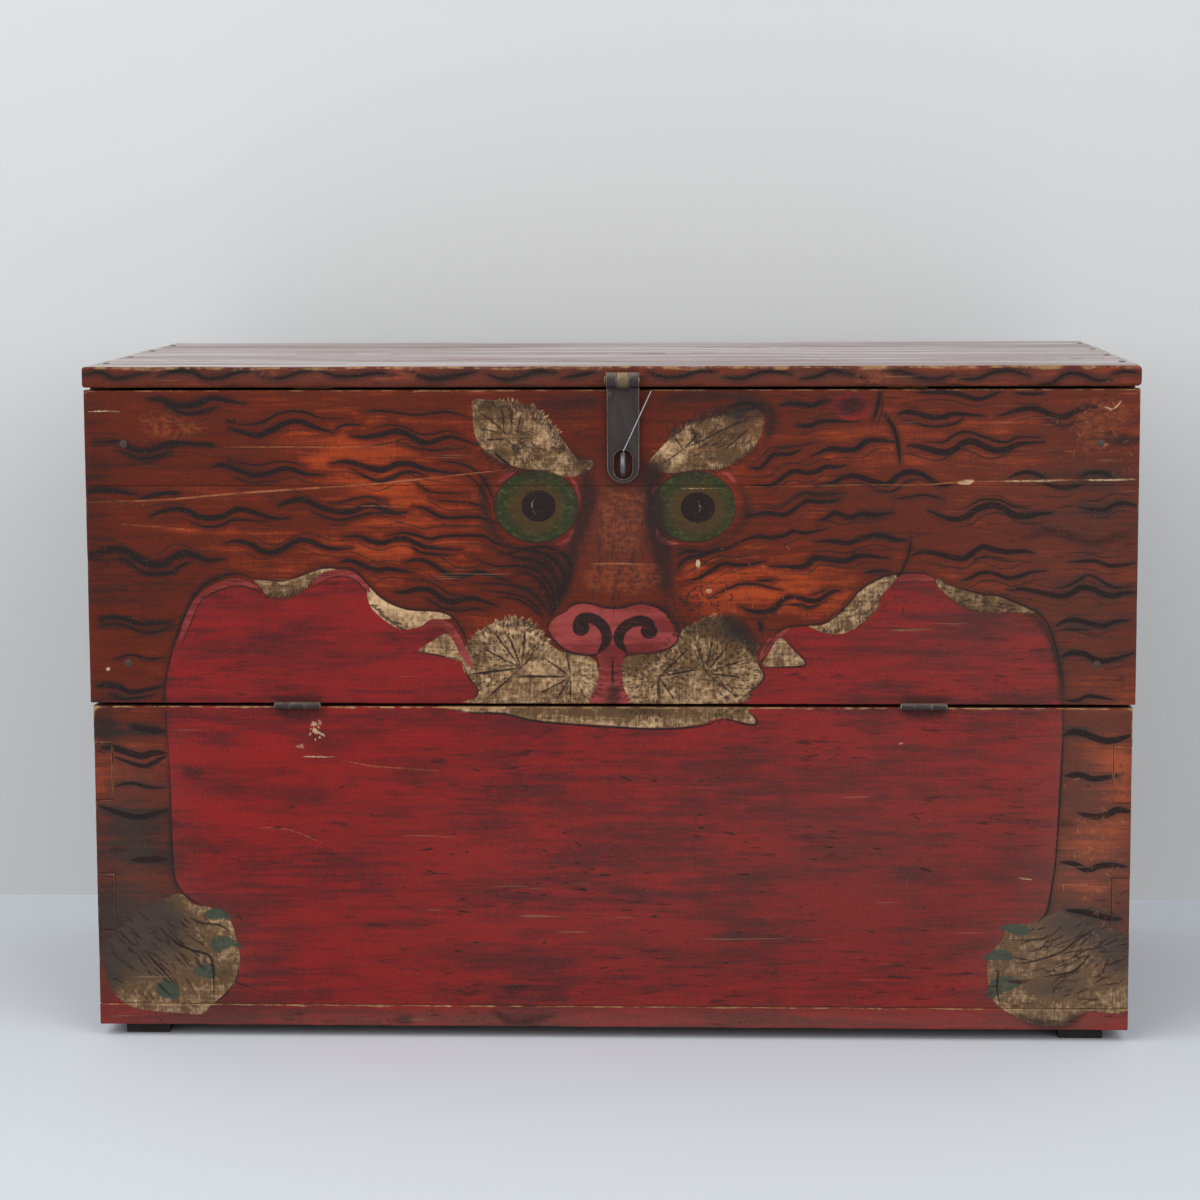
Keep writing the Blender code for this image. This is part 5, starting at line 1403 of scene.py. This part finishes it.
@dataclass
class Finishes:
    """All the materials, built once."""

    effects: SharedEffects = field(default_factory=SharedEffects)

    def __post_init__(self) -> None:
        """Build each material."""
        self.painted = self.board("painted_boards", GrainAxis.ALONG_X, True)
        self.lengthwise = self.board("lacquered_long_boards", GrainAxis.ALONG_X, False)
        self.sideways = self.board("lacquered_side_boards", GrainAxis.ALONG_Y, True)
        self.raw_sideways = self.board("bare_wood_across", GrainAxis.ALONG_Y, False)
        self.raw_upright = self.board("bare_wood_upright", GrainAxis.ALONG_Z, False)
        # painted shade: the skids are near black, partly grime and partly the shadow under the trunk painted
        # on
        self.skids = self.plain("skids_grime_and_painted_shade", (30, 25, 23), (36, 29, 25), (44, 36, 30), 0.8, 0.0)
        self.iron = self.plain("dark_iron", (48, 40, 38), (58, 46, 40), (112, 98, 88), 0.42, 0.45)
        # the iron's eased edges: partly rubbed bare metal, partly a painted highlight along the edges
        self.rubbed = self.plain("rubbed_and_highlit_iron", (126, 115, 104), (66, 56, 50), (164, 152, 136), 0.38, 0.5)
        self.brass = self.plain("old_brass", (104, 86, 62), (82, 66, 48), (150, 128, 92), 0.4, 0.5)
        self.nails = self.plain("old_nails", (56, 36, 31), (64, 42, 34), (84, 66, 56), 0.6, 0.0)
        self.steel = self.plain("worn_steel", (98, 98, 100), (80, 76, 74), (150, 150, 152), 0.35, 0.7)
        self.wire = self.plain("bright_wire", (180, 182, 186), (150, 150, 152), (215, 216, 218), 0.3, 0.85)

    def board(self, name: str, axis: GrainAxis, painted: bool) -> Material:
        """Finish of boards whose grain runs along an axis, with or without the picture."""
        return BoardFinish(self.effects, axis, painted).build(name)

    @staticmethod
    def plain(
        name: str, body: ScreenColour, rust: ScreenColour, worn: ScreenColour, rough: float, metal: float,
    ) -> Material:
        """Finish of a fitting, as in IronFinish but with colours as a screen shows them."""
        return IronFinish(srgb(*body), srgb(*rust), srgb(*worn), rough, metal).build(name)


class Facing(Enum):
    """Way that a board's shown face looks: two axes along it, the axis through it, and that way's sign."""

    FRONT = (0, 2, 1, -1)
    BACK = (0, 2, 1, 1)
    LEFT = (1, 2, 0, -1)
    RIGHT = (1, 2, 0, 1)
    TOP = (0, 1, 2, 1)
    BOTTOM = (0, 1, 2, -1)


@dataclass
class FingerJoint:
    """Fingers of the sides through the ends of the lower front and the back, as in the solids."""

    count: int = 2
    height: float = 0.058
    start: float = 0.1065
    pitch: float = 0.1355
    fit: float = 0.0003

    def spans(self, low: float, grow: float = 0.0) -> Outline:
        """Lower and upper end of each finger, from a board's lower edge up."""
        half = self.height / 2.0 + grow
        middles = [low + self.start + self.pitch * index for index in range(self.count)]
        return [(middle - half, middle + half) for middle in middles]

    def edge(self, base: float, stepped: float, spans: Outline) -> Outline:
        """Points up an end that steps to another place over each span."""
        points = []
        for low, high in spans:
            points += [(base, low), (stepped, low), (stepped, high), (base, high)]
        return points


@dataclass
class Board:
    """A board with worn, rounded edges that stands for one node of the frame.

    Its outline lies in the plane of its broad faces; the first of these is the face that shows outside. trim
    leaves off the node's tongues: how far its lower and upper edge stop short of the node's box. wear is how
    far bare wood reaches in from an edge, in millimetres, and gloss is the share of polish left, which also
    sets how much painted sheen its upward faces get. seam is the number of a side that stays sharp and
    whole. Sizes whose names end in _MM are in millimetres.
    """

    node: str
    body: str
    slot: str
    facing: Facing
    material: Material
    outline: Outline | None = None
    rounding: float = 0.0012
    chip_count: int = 14
    chip_depth: float = 0.0016
    edge_step: float = 0.008
    fine_step: float = 0.0016
    face_step: float = 0.016
    waviness: float = 0.00018
    trim: tuple[float, float] = (0.0, 0.0)
    wear: float = 0.6
    gloss: float = 0.1
    seam: int | None = None
    picture: Painting | None = None
    face_painted: bool = False
    front: float = 0.0
    seed: int = 1

    ROUND_STEPS = 3
    EDGE_WAVE_MM = 90.0
    FACE_WAVE_MM = 300.0
    CHIP_HALF = (0.003, 0.012)
    CHIP_SHARE = (0.2, 1.0)
    LEAST_RADIUS = 0.0004
    MOST_RADIUS_SHARE = 0.3
    GUARD = 0.0012
    GUARD_SHARE = 0.6
    EDGE_REACH_MM = 30.0
    PAINT_BAND_MM = 1.7
    PAINT_MARGIN_MM = 1.0
    PAINT_STEP_MM = 1.25
    PAINTED_GRID = 0.4
    GRID_SHAKE = 0.18
    FILL_WITHIN = 1e-5
    CRACK_DEPTH = 0.0005
    CRACK_REACH_MM = 0.5
    SEAM_ROUNDING = 0.2
    SEAM_QUIET_MM = 7.0
    SEAM_BARE = 0.3
    LOW_WEAR = 0.1
    FACE_SLACK = 1e-5
    FRONT_SLACK = 0.006
    PAINT_DEPTH = 0.0020
    PAINT_FADE = 0.0015
    SEED_SHIFT = 0.37
    NEAR_FACE = 1.5

    def build(self) -> bpy.types.Object:
        """Make the board's mesh, set it in the scene, and let it stand for its node."""
        self.measure()
        base = self.perimeter()
        worn = self.worn_radius(base)
        near_loops, far_loops, columns = self.rings(base, worn)
        loops = near_loops + columns + far_loops
        count, size = len(loops), len(base)
        self.points = [np.vstack(loops)]
        self.edges_mm = [np.repeat([self.loop_edge(number, count) for number in range(count)], size)]
        self.faces = []
        self.join_loops(count, size)
        self.fill(near_loops[0], 0, True)
        self.fill(far_loops[-1], (count - 1) * size, False)
        piece = self.to_object()
        LOG.info("%s: %d points, %d faces", self.node, len(piece.data.vertices), len(piece.data.polygons))
        return piece

    def measure(self) -> None:
        """Take the board's size and place from its node."""
        low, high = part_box(self.node)
        self.along, self.up, self.through, self.sign = self.facing.value
        self.near = low[self.through] if self.sign < 0 else high[self.through]
        self.far = high[self.through] if self.sign < 0 else low[self.through]
        self.thickness = abs(self.far - self.near)
        if self.outline is None:
            left, right = low[self.along], high[self.along]
            bottom, top = low[self.up] + self.trim[0], high[self.up] - self.trim[1]
            self.outline = [(left, bottom), (right, bottom), (right, top), (left, top)]

    def side_step(self, start: np.ndarray, end: np.ndarray) -> float:
        """Spacing of points along one side of the outline: fine where the picture runs over it."""
        if self.picture is None:
            return self.edge_step
        if self.face_painted:
            return 2.0 * self.fine_step
        depth = 0 if self.along == 1 else 1
        gaps = [abs(point[depth] - self.front) for point in (start, end)]
        return self.fine_step if self.through != 1 and max(gaps) < self.FRONT_SLACK else self.edge_step

    def perimeter(self) -> np.ndarray:
        """Lay points round the outline, and keep how each moves when the outline shrinks."""
        corners = np.array(self.outline)
        count = len(corners)
        base, self.inward, self.drifts, self.corner_of, self.side_of = [], [], [], [], []
        firsts = []
        for index in range(count):
            before, start, end = corners[index - 1], corners[index], corners[(index + 1) % count]
            after = corners[(index + 2) % count]
            run = (end - start) / np.linalg.norm(end - start)
            drift_start = run * (self.left_of(start - before) @ run)
            drift_end = run * (self.left_of(after - end) @ run)
            pieces = max(1, round(np.linalg.norm(end - start) / self.side_step(start, end)))
            firsts.append(len(base))
            for piece in range(pieces):
                share = piece / pieces
                base.append(start + (end - start) * share)
                self.inward.append(self.left_of(end - start))
                self.drifts.append(((1.0 - share) * drift_start, share * drift_end))
                self.corner_of.append((index, (index + 1) % count))
                self.side_of.append(index)
        self.inward, self.drifts = np.array(self.inward), np.array(self.drifts)
        self.corner_of = np.array(firsts)[np.array(self.corner_of)]
        return np.array(base)

    def shrink(self, base: np.ndarray, inset: np.ndarray) -> np.ndarray:
        """Move the outline's points inward, with the points near a corner kept in order."""
        moved = base + self.inward * inset[:, None]
        for end in range(2):
            moved = moved + self.drifts[:, end] * inset[self.corner_of[:, end]][:, None]
        return moved

    @staticmethod
    def left_of(run: np.ndarray) -> np.ndarray:
        """Unit direction to the left of a run, which points inward on an outline that turns left."""
        unit = run / np.linalg.norm(run)
        return np.array([-unit[1], unit[0]])

    def worn_radius(self, base: np.ndarray) -> np.ndarray:
        """Radius of the worn edge along the outline: a wavy rounding with chips."""
        rng = np.random.default_rng(self.seed)
        walked = np.concatenate([[0.0], np.cumsum(np.linalg.norm(np.diff(base, axis=0), axis=1))])
        radius = self.rounding * (0.85 + 0.35 * ripple(walked[:, None] * MM, self.EDGE_WAVE_MM, self.seed))
        for _ in range(self.chip_count):
            middle = rng.uniform(0.0, walked[-1])
            half = rng.uniform(*self.CHIP_HALF)
            depth = self.chip_depth * rng.uniform(*self.CHIP_SHARE)
            radius += depth * np.exp(-(((walked - middle) / half) ** 2))
        radius = np.clip(radius, self.LEAST_RADIUS, self.thickness * self.MOST_RADIUS_SHARE)
        if self.seam is not None:
            radius[np.array(self.side_of) == self.seam] *= self.SEAM_ROUNDING
        return radius

    def rings(
        self, base: np.ndarray, worn: np.ndarray,
    ) -> tuple[list[np.ndarray], list[np.ndarray], list[np.ndarray]]:
        """Loops of points over the edge: round the near arris, round the far arris, and between them."""
        inside = -self.sign
        near_loops, far_loops, columns = [], [], []
        for step in range(self.ROUND_STEPS + 1):
            angle = math.pi / 2.0 * step / self.ROUND_STEPS
            inset = worn * (1.0 - math.sin(angle))
            sunk = worn * (1.0 - math.cos(angle))
            flat = self.shrink(base, inset)
            near_loops.append(self.lift(flat, self.near + inside * sunk))
            far_loops.insert(0, self.lift(flat, self.far - inside * sunk))
        fine = self.picture is not None and not self.face_painted
        across = max(1, round(self.thickness / (self.fine_step if fine else self.edge_step)))
        for column in range(1, across):
            depth = worn + (self.thickness - 2.0 * worn) * column / across
            columns.append(self.lift(base, self.near + inside * depth))
        return near_loops, far_loops, columns

    def lift(self, flat: np.ndarray, depth: np.ndarray | float) -> np.ndarray:
        """Turn points of the outline's plane into points in space."""
        made = np.zeros((len(flat), 3))
        made[:, self.along] = flat[:, 0]
        made[:, self.up] = flat[:, 1]
        made[:, self.through] = depth
        return made

    def loop_edge(self, number: int, total: int) -> float:
        """Distance of a loop on the board's edge from the nearest arris, in millimetres."""
        rounding = self.ROUND_STEPS
        if number <= rounding or number >= total - 1 - rounding:
            return 0.0
        columns = total - 2 * (rounding + 1)
        share = (number - rounding) / (columns + 1)
        return MM * self.thickness * min(share, 1.0 - share)

    def join_loops(self, loops: int, size: int) -> None:
        """Close the edge between each loop and the next."""
        for loop in range(loops - 1):
            near, far = loop * size, (loop + 1) * size
            for index in range(size):
                following = (index + 1) % size
                self.faces.append((near + index, near + following, far + following, far + index))

    def fill(self, rim: np.ndarray, first: int, is_near: bool) -> None:
        """Fill a broad face inside its rim with triangles.

        Args:
            rim: The face's outermost loop of points.
            first: Number of the loop's first point in the mesh.
            is_near: Whether this is the face that shows outside.
        """
        border = MM * rim[:, (self.along, self.up)]
        painted = is_near and self.face_painted
        spread = self.spread_points(border, painted)
        free = gap_to(spread, border, self.EDGE_REACH_MM) > MM * self.GUARD * self.GUARD_SHARE
        spread = spread[lies_inside(spread, border) & free]
        places = [Vector(point) for point in np.vstack([border, spread])]
        size = len(border)
        made = delaunay_2d_cdt(places, [], [list(range(size))], 1, self.FILL_WITHIN)
        triangles, origins = made[2], made[3]
        offset = sum(len(part) for part in self.points) - size
        numbers = []
        for origin in origins:
            source = min(origin)
            numbers.append(first + source if source < size else offset + source)
        self.points.append(self.lift(spread / MM, self.near if is_near else self.far))
        self.edges_mm.append(gap_to(spread, border, self.EDGE_REACH_MM))
        for triangle in triangles:
            ring_of = [numbers[corner] for corner in triangle]
            self.faces.append(tuple(ring_of if is_near else ring_of[::-1]))

    def spread_points(self, border: np.ndarray, painted: bool) -> np.ndarray:
        """Points to lay over a face: a loose grid, with a row along the rim or along painted edges."""
        rng = np.random.default_rng(self.seed + 7)
        low, high = border.min(0), border.max(0)
        step = MM * self.face_step * (self.PAINTED_GRID if painted else 1.0)
        loose = self.grid(low, high, step, rng)
        if not painted:
            return np.vstack([loose, border + np.sign(border.mean(0) - border) * MM * self.GUARD])
        close = self.grid(low, high, self.PAINT_STEP_MM, rng)
        close = close[self.paint_gap(close) < self.PAINT_BAND_MM]
        loose = loose[self.paint_gap(loose) > self.PAINT_BAND_MM + self.PAINT_MARGIN_MM]
        return np.vstack([loose, close])

    def paint_gap(self, spots: np.ndarray) -> np.ndarray:
        """Distance of points of the front to the nearest edge of any coat, in millimetres."""
        return np.abs(list(self.picture.fields(spots).values())).min(0)

    @classmethod
    def grid(cls, low: np.ndarray, high: np.ndarray, step: float, rng: np.random.Generator) -> np.ndarray:
        """A loose grid of points between two corners."""
        counts = np.maximum(np.round((high - low) / step).astype(int), 2)
        axes = [np.linspace(start, end, count + 1)[1:-1] for start, end, count in zip(low, high, counts)]
        made = np.stack(np.meshgrid(*axes, indexing="ij"), axis=-1).reshape(-1, 2)
        return made + rng.uniform(-cls.GRID_SHAKE, cls.GRID_SHAKE, made.shape) * step

    def to_object(self) -> bpy.types.Object:
        """Make the mesh with its fields, and hand the piece to its body."""
        points = np.vstack(self.points)
        fields = {"edge": np.concatenate(self.edges_mm)}
        fields["seed"] = np.full(len(points), self.SEED_SHIFT * self.seed)
        inside = -self.sign
        depth = (points[:, self.through] - self.near) * inside
        fields["outside"] = np.where(depth > self.thickness - self.FACE_SLACK, 0.0, 1.0)
        fields["gloss"] = np.full(len(points), self.gloss)
        height = points[:, 2] - points[:, 2].min()
        fields["wear"] = self.wear * (self.LOW_WEAR + (1.0 - self.LOW_WEAR) * (height / height.max()) ** 3)
        if self.seam is not None:
            above = MM * np.abs(points[:, self.up] - self.outline[self.seam][1])
            fields["wear"] *= np.clip(above / self.SEAM_QUIET_MM - self.SEAM_BARE, 0.0, 1.0)
        near_face = depth < self.NEAR_FACE * self.rounding
        flat = MM * points[:, (self.along, self.up)]
        wave = self.waviness * (1.0 + ripple(flat, self.FACE_WAVE_MM, self.seed + 3))
        if self.picture is not None:
            spots = MM * points[:, (0, 2)]
            fields.update(self.picture.fields(spots))
            fields.update({name: self.picture.tone(name, spots) for name in self.picture.tones})
            behind = points[:, 1] - self.front - self.PAINT_DEPTH
            fields["front"] = np.clip(1.0 - behind / self.PAINT_FADE, 0.0, 1.0)
            if self.face_painted:
                wave = wave + self.CRACK_DEPTH * np.clip(fields["crack"] + self.CRACK_REACH_MM, 0.0, 1.0)
        points[near_face, self.through] += inside * wave[near_face]
        mesh = bpy.data.meshes.new(f"{self.node}_piece")
        mesh.from_pydata(points.tolist(), [], self.faces)
        shape = bmesh.new()
        shape.from_mesh(mesh)
        bmesh.ops.recalc_face_normals(shape, faces=shape.faces[:])
        shape.to_mesh(mesh)
        shape.free()
        mesh.shade_smooth()
        for name, values in fields.items():
            kept = mesh.attributes.new(name, "FLOAT", "POINT")
            kept.data.foreach_set("value", values.astype(np.float32))
        mesh.materials.append(self.material)
        piece = stand(f"{self.node}_piece", mesh)
        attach(piece, self.body)
        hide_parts(self.node)
        return piece


@dataclass
class Carcass:
    """All the boards of the trunk: the top, the sides, the back, the bottom and both halves of the front."""

    finishes: Finishes
    view: PhotoView
    joint: FingerJoint = field(default_factory=FingerJoint)
    tongue: float = 0.006
    top_rounding: float = 0.0034
    top_waviness: float = 0.0003

    def build(self) -> list[bpy.types.Object]:
        """Build every board."""
        front_low, front_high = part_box("front_panel")
        self.front = front_low.y
        self.front_inside = front_high.y
        self.painting = Painting(self.view, self.front)
        boards = self.front_boards() + self.top_boards() + self.side_boards()
        boards += self.back_boards() + self.bottom_boards()
        return [board.build() for board in boards]

    def notched_outline(self, node: str, tongue: float = 0.0) -> Outline:
        """Outline of a front or back board without its tongue, notched for the sides' fingers."""
        low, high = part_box(node)
        top = high.z - tongue
        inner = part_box("side_right_lower")[0].x - self.joint.fit
        spans = self.joint.spans(low.z, self.joint.fit)
        right = self.joint.edge(high.x, inner, spans)
        left = self.joint.edge(low.x, -inner, spans)
        return [(low.x, low.z), (high.x, low.z), *right, (high.x, top), (low.x, top), *left[::-1]]

    def side_outline(self, node: str, fingers_in_front: bool) -> Outline:
        """Outline of a side board with its fingers; the lower one leaves off its tongue."""
        low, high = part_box(node)
        top = high.z - self.tongue if fingers_in_front else high.z
        back_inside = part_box("back_board_lower")[0].y - self.joint.fit
        spans = self.joint.spans(low.z)
        back = self.joint.edge(back_inside, high.y, spans)
        start = self.front_inside + self.joint.fit if fingers_in_front else low.y
        front = self.joint.edge(start, low.y, spans) if fingers_in_front else []
        return [(start, low.z), (back_inside, low.z), *back, (back_inside, top), (start, top), *front[::-1]]

    def front_boards(self) -> list[Board]:
        """The two boards of the flap and the lower front."""
        notched = self.notched_outline("front_panel")
        shared = {
            "slot": "painted_front", "facing": Facing.FRONT, "material": self.finishes.painted,
            "picture": self.painting, "face_painted": True, "front": self.front,
        }
        return [
            Board("flap_upper_board", "flap", seed=11, trim=(self.tongue, 0.0), wear=0.4, seam=0, **shared),
            Board("flap_lower_board", "flap", seed=12, wear=0.4, seam=2, **shared),
            Board("front_panel", "chest", seed=13, outline=notched, wear=0.7, **shared),
        ]

    def top_boards(self) -> list[Board]:
        """The top's four planks; the front one's edge carries stripes."""
        shared = {
            "body": "chest", "slot": "lacquered_boards", "facing": Facing.TOP, "gloss": 1.0,
            "waviness": self.top_waviness,
        }
        edge_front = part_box("top_plank_front")[0].y
        planks = [Board(
            "top_plank_front", material=self.finishes.painted, picture=self.painting, front=edge_front,
            rounding=self.top_rounding, chip_count=26, seed=21, trim=(0.0, self.tongue), **shared,
        )]
        for number, name in enumerate(("mid_front", "mid_back", "back"), start=22):
            trim = (0.0, 0.0 if name == "back" else self.tongue)
            node = f"top_plank_{name}"
            planks.append(Board(node, material=self.finishes.lengthwise, seed=number, trim=trim, **shared))
        return planks

    def side_boards(self) -> list[Board]:
        """The sides' boards; the lower ones' fingers show in the painted front."""
        made = []
        for side, facing in (("left", Facing.LEFT), ("right", Facing.RIGHT)):
            for level, fingers in (("lower", True), ("upper", False)):
                node = f"side_{side}_{level}"
                made.append(Board(
                    node, "chest", "lacquered_boards", facing, self.finishes.sideways,
                    outline=self.side_outline(node, fingers), picture=self.painting, front=self.front,
                    rounding=0.0007 if fingers else 0.0012, chip_count=4, seed=31 + len(made),
                ))
        return made

    def back_boards(self) -> list[Board]:
        """The back's two boards."""
        return [
            Board(
                f"back_board_{level}", "chest", "lacquered_boards", Facing.BACK, self.finishes.lengthwise,
                outline=self.notched_outline(f"back_board_{level}", tongue), rounding=0.0008, seed=seed,
            )
            for level, seed, tongue in (("lower", 41, self.tongue), ("upper", 42, 0.0))
        ]

    def bottom_boards(self) -> list[Board]:
        """The bottom's two planks; the front one's edge carries the ends of the paws."""
        shared = {"body": "chest", "slot": "lacquered_boards", "facing": Facing.BOTTOM}
        return [
            Board(
                "bottom_plank_front", material=self.finishes.painted, picture=self.painting,
                front=self.front, chip_count=24, seed=51, trim=(0.0, self.tongue), **shared,
            ),
            Board("bottom_plank_back", material=self.finishes.lengthwise, seed=52, **shared),
        ]


@dataclass
class Fittings:
    """Hinges, hasp, staple, wire, nails, battens and skids: the frame's solids, eased and finished."""

    finishes: Finishes
    easing: float = 0.0005
    wood_easing: float = 0.001
    easing_steps: int = 2

    JOIN_WITHIN = 1e-6
    FLAT_WITHIN = 0.01
    EASED_FROM = math.radians(35.0)
    SHARP_FROM = math.radians(27.0)

    def build(self) -> list[str]:
        """Dress every node that no board stands for."""
        dressed = []
        self.smoothing = self.smooth_curves()
        for name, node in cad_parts.items():
            if node.hide_render:
                continue
            material, easing, slot = self.finish_of(name)
            self.dress(node, material, easing)
            dressed.append(name)
            LOG.info("%s: dressed in %s", name, material.name)
        return dressed

    def finish_of(self, name: str) -> tuple[Material, float, str]:
        """Material, edge easing and slot of a node."""
        # the skids take the near-black finish that paints the shade under the trunk
        if name in ("skid_left", "skid_right"):
            return self.finishes.skids, self.wood_easing, "bare_wood"
        if name.startswith("top_batten"):
            return self.finishes.raw_sideways, self.wood_easing, "bare_wood"
        if name.startswith("flap_batten"):
            return self.finishes.raw_upright, self.wood_easing, "bare_wood"
        if name == "keeper_wire":
            return self.finishes.wire, 0.0, "bright_wire"
        if "nail" in name:
            return self.finishes.nails, 0.0, "dark_iron"
        if name in ("hasp_anchor", "hasp_pin"):
            return self.finishes.brass, self.easing, "dark_iron"
        if name == "staple":
            return self.finishes.steel, self.easing, "dark_iron"
        return self.finishes.iron, self.easing, "dark_iron"

    def dress(self, node: bpy.types.Object, material: Material, easing: float) -> None:
        """Give a node its material, and ease its edges with a modifier."""
        node.data.materials.clear()
        node.data.materials.append(material)
        # eased iron edges take the paler rubbed iron: partly edge wear, partly a painted highlight
        node.data.materials.append(self.finishes.rubbed if material == self.finishes.iron else material)
        joined = node.modifiers.new("joined_corners", "WELD")
        joined.merge_threshold = self.JOIN_WITHIN
        if easing:
            flat = node.modifiers.new("whole_flats", "DECIMATE")
            flat.decimate_type = "DISSOLVE"
            flat.angle_limit = self.FLAT_WITHIN
            eased = node.modifiers.new("eased_edges", "BEVEL")
            eased.use_clamp_overlap = False
            eased.width = easing
            eased.segments = self.easing_steps
            eased.limit_method = "ANGLE"
            eased.angle_limit = self.EASED_FROM
            eased.material = 1
        node.modifiers.new("smooth_curves", "NODES").node_group = self.smoothing

    def smooth_curves(self) -> Tree:
        """A modifier's tree that shades curved faces smoothly and keeps sharp edges sharp."""
        tree = bpy.data.node_groups.new("smooth_curves", "GeometryNodeTree")
        for way in ("INPUT", "OUTPUT"):
            tree.interface.new_socket("Geometry", in_out=way, socket_type="NodeSocketGeometry")
        sheet = Sheet(tree)
        inputs = {"Geometry": sheet.add("NodeGroupInput").outputs[0], "Shade Smooth": True}
        soft = sheet.add("GeometryNodeSetShadeSmooth", inputs, domain="FACE")
        bend = sheet.add("GeometryNodeInputMeshEdgeAngle").outputs["Unsigned Angle"]
        sharp = sheet.math("GREATER_THAN", bend, self.SHARP_FROM)
        inputs = {"Geometry": soft.outputs[0], "Selection": sharp, "Shade Smooth": False}
        kept = sheet.add("GeometryNodeSetShadeSmooth", inputs, domain="EDGE")
        sheet.put(sheet.add("NodeGroupOutput").inputs[0], kept.outputs[0])
        return tree


@dataclass(frozen=True)
class Lamp:
    """A large soft square lamp: its place and side in metres, its power in watts and its colour."""

    name: str
    place: Place
    size: float
    power: float
    colour: tuple[float, float, float]


LAMPS = (
    Lamp("window", (-2.6, -2.4, 2.5), 4.2, 109.0, (1.0, 0.985, 0.96)),
    Lamp("room", (2.4, -3.4, 2.1), 3.4, 84.0, (1.0, 0.97, 0.93)),
    Lamp("ceiling", (0.0, -0.6, 3.2), 4.0, 23.0, (0.97, 0.98, 1.0)),
)


@dataclass
class Studio:
    """Pale floor and wall, and soft light from the left."""

    floor_colour: Colour = srgb(213, 219, 226)
    wall_colour: Colour = srgb(204, 206, 207)
    wall_place: float = 0.42
    floor_size: float = 7.0
    wall_height: float = 4.0
    sky_colour: Colour = (0.93, 0.95, 1.0, 1.0)
    sky_strength: float = 0.44
    roughness: float = 0.75
    aim: Place = (0.0, 0.0, 0.35)

    def build(self) -> None:
        """Set the floor, the wall and the light."""
        half = self.floor_size
        floor = [(-half, -half, 0.0), (half, -half, 0.0), (half, half, 0.0), (-half, half, 0.0)]
        self.sheet_of("floor", floor, self.surface("pale_floor", self.floor_colour, False))
        wall = [
            (-half, self.wall_place, 0.0), (half, self.wall_place, 0.0),
            (half, self.wall_place, self.wall_height), (-half, self.wall_place, self.wall_height),
        ]
        piece = self.sheet_of("wall", wall, self.surface("pale_wall", self.wall_colour, True))
        piece.visible_diffuse = False
        piece.visible_shadow = False
        for lamp in LAMPS:
            self.hang(lamp)
        world = bpy.data.worlds.new("soft_sky")
        world.use_nodes = True
        sky = world.node_tree.nodes["Background"]
        sky.inputs["Color"].default_value = self.sky_colour
        sky.inputs["Strength"].default_value = self.sky_strength
        bpy.context.scene.world = world
        bpy.context.scene.view_settings.view_transform = "Standard"

    def sheet_of(self, name: str, corners: list[Place], material: Material) -> bpy.types.Object:
        """A flat sheet of the stage."""
        mesh = bpy.data.meshes.new(name)
        mesh.from_pydata(corners, [], [(0, 1, 2, 3)])
        mesh.materials.append(material)
        piece = stand(name, mesh)
        return piece

    def surface(self, name: str, colour: Colour, clear_behind: bool) -> Material:
        """A plain pale surface, which may be clear when seen from behind."""
        material, sheet, shader = start_material(name)
        shader.inputs["Base Color"].default_value = colour
        shader.inputs["Roughness"].default_value = self.roughness
        if clear_behind:
            behind = sheet.add("ShaderNodeNewGeometry").outputs["Backfacing"]
            clear = sheet.add("ShaderNodeBsdfTransparent").outputs[0]
            mixed = sheet.add("ShaderNodeMixShader", {0: behind, 1: shader.outputs[0], 2: clear}).outputs[0]
            sheet.put(material.node_tree.nodes["Material Output"].inputs["Surface"], mixed)
        return material

    def hang(self, lamp: Lamp) -> None:
        """Set a lamp in the scene, aimed at the trunk's middle."""
        data = bpy.data.lights.new(lamp.name, "AREA")
        data.size = lamp.size
        data.energy = lamp.power
        data.color = lamp.colour
        turn = (Vector(self.aim) - Vector(lamp.place)).to_track_quat("-Z", "Y").to_matrix().to_4x4()
        stand(lamp.name, data).matrix_world = Matrix.Translation(lamp.place) @ turn


def main() -> None:
    """Build the stage, the boards and the fittings."""
    logging.basicConfig(level=logging.INFO, format="%(message)s")
    view = PhotoView()
    view.make_camera()
    Studio().build()
    finishes = Finishes()
    pieces = Carcass(finishes, view).build()
    dressed = Fittings(finishes).build()
    LOG.info("%d boards, %d dressed solids", len(pieces), len(dressed))


if __name__ == "__main__":
    main()
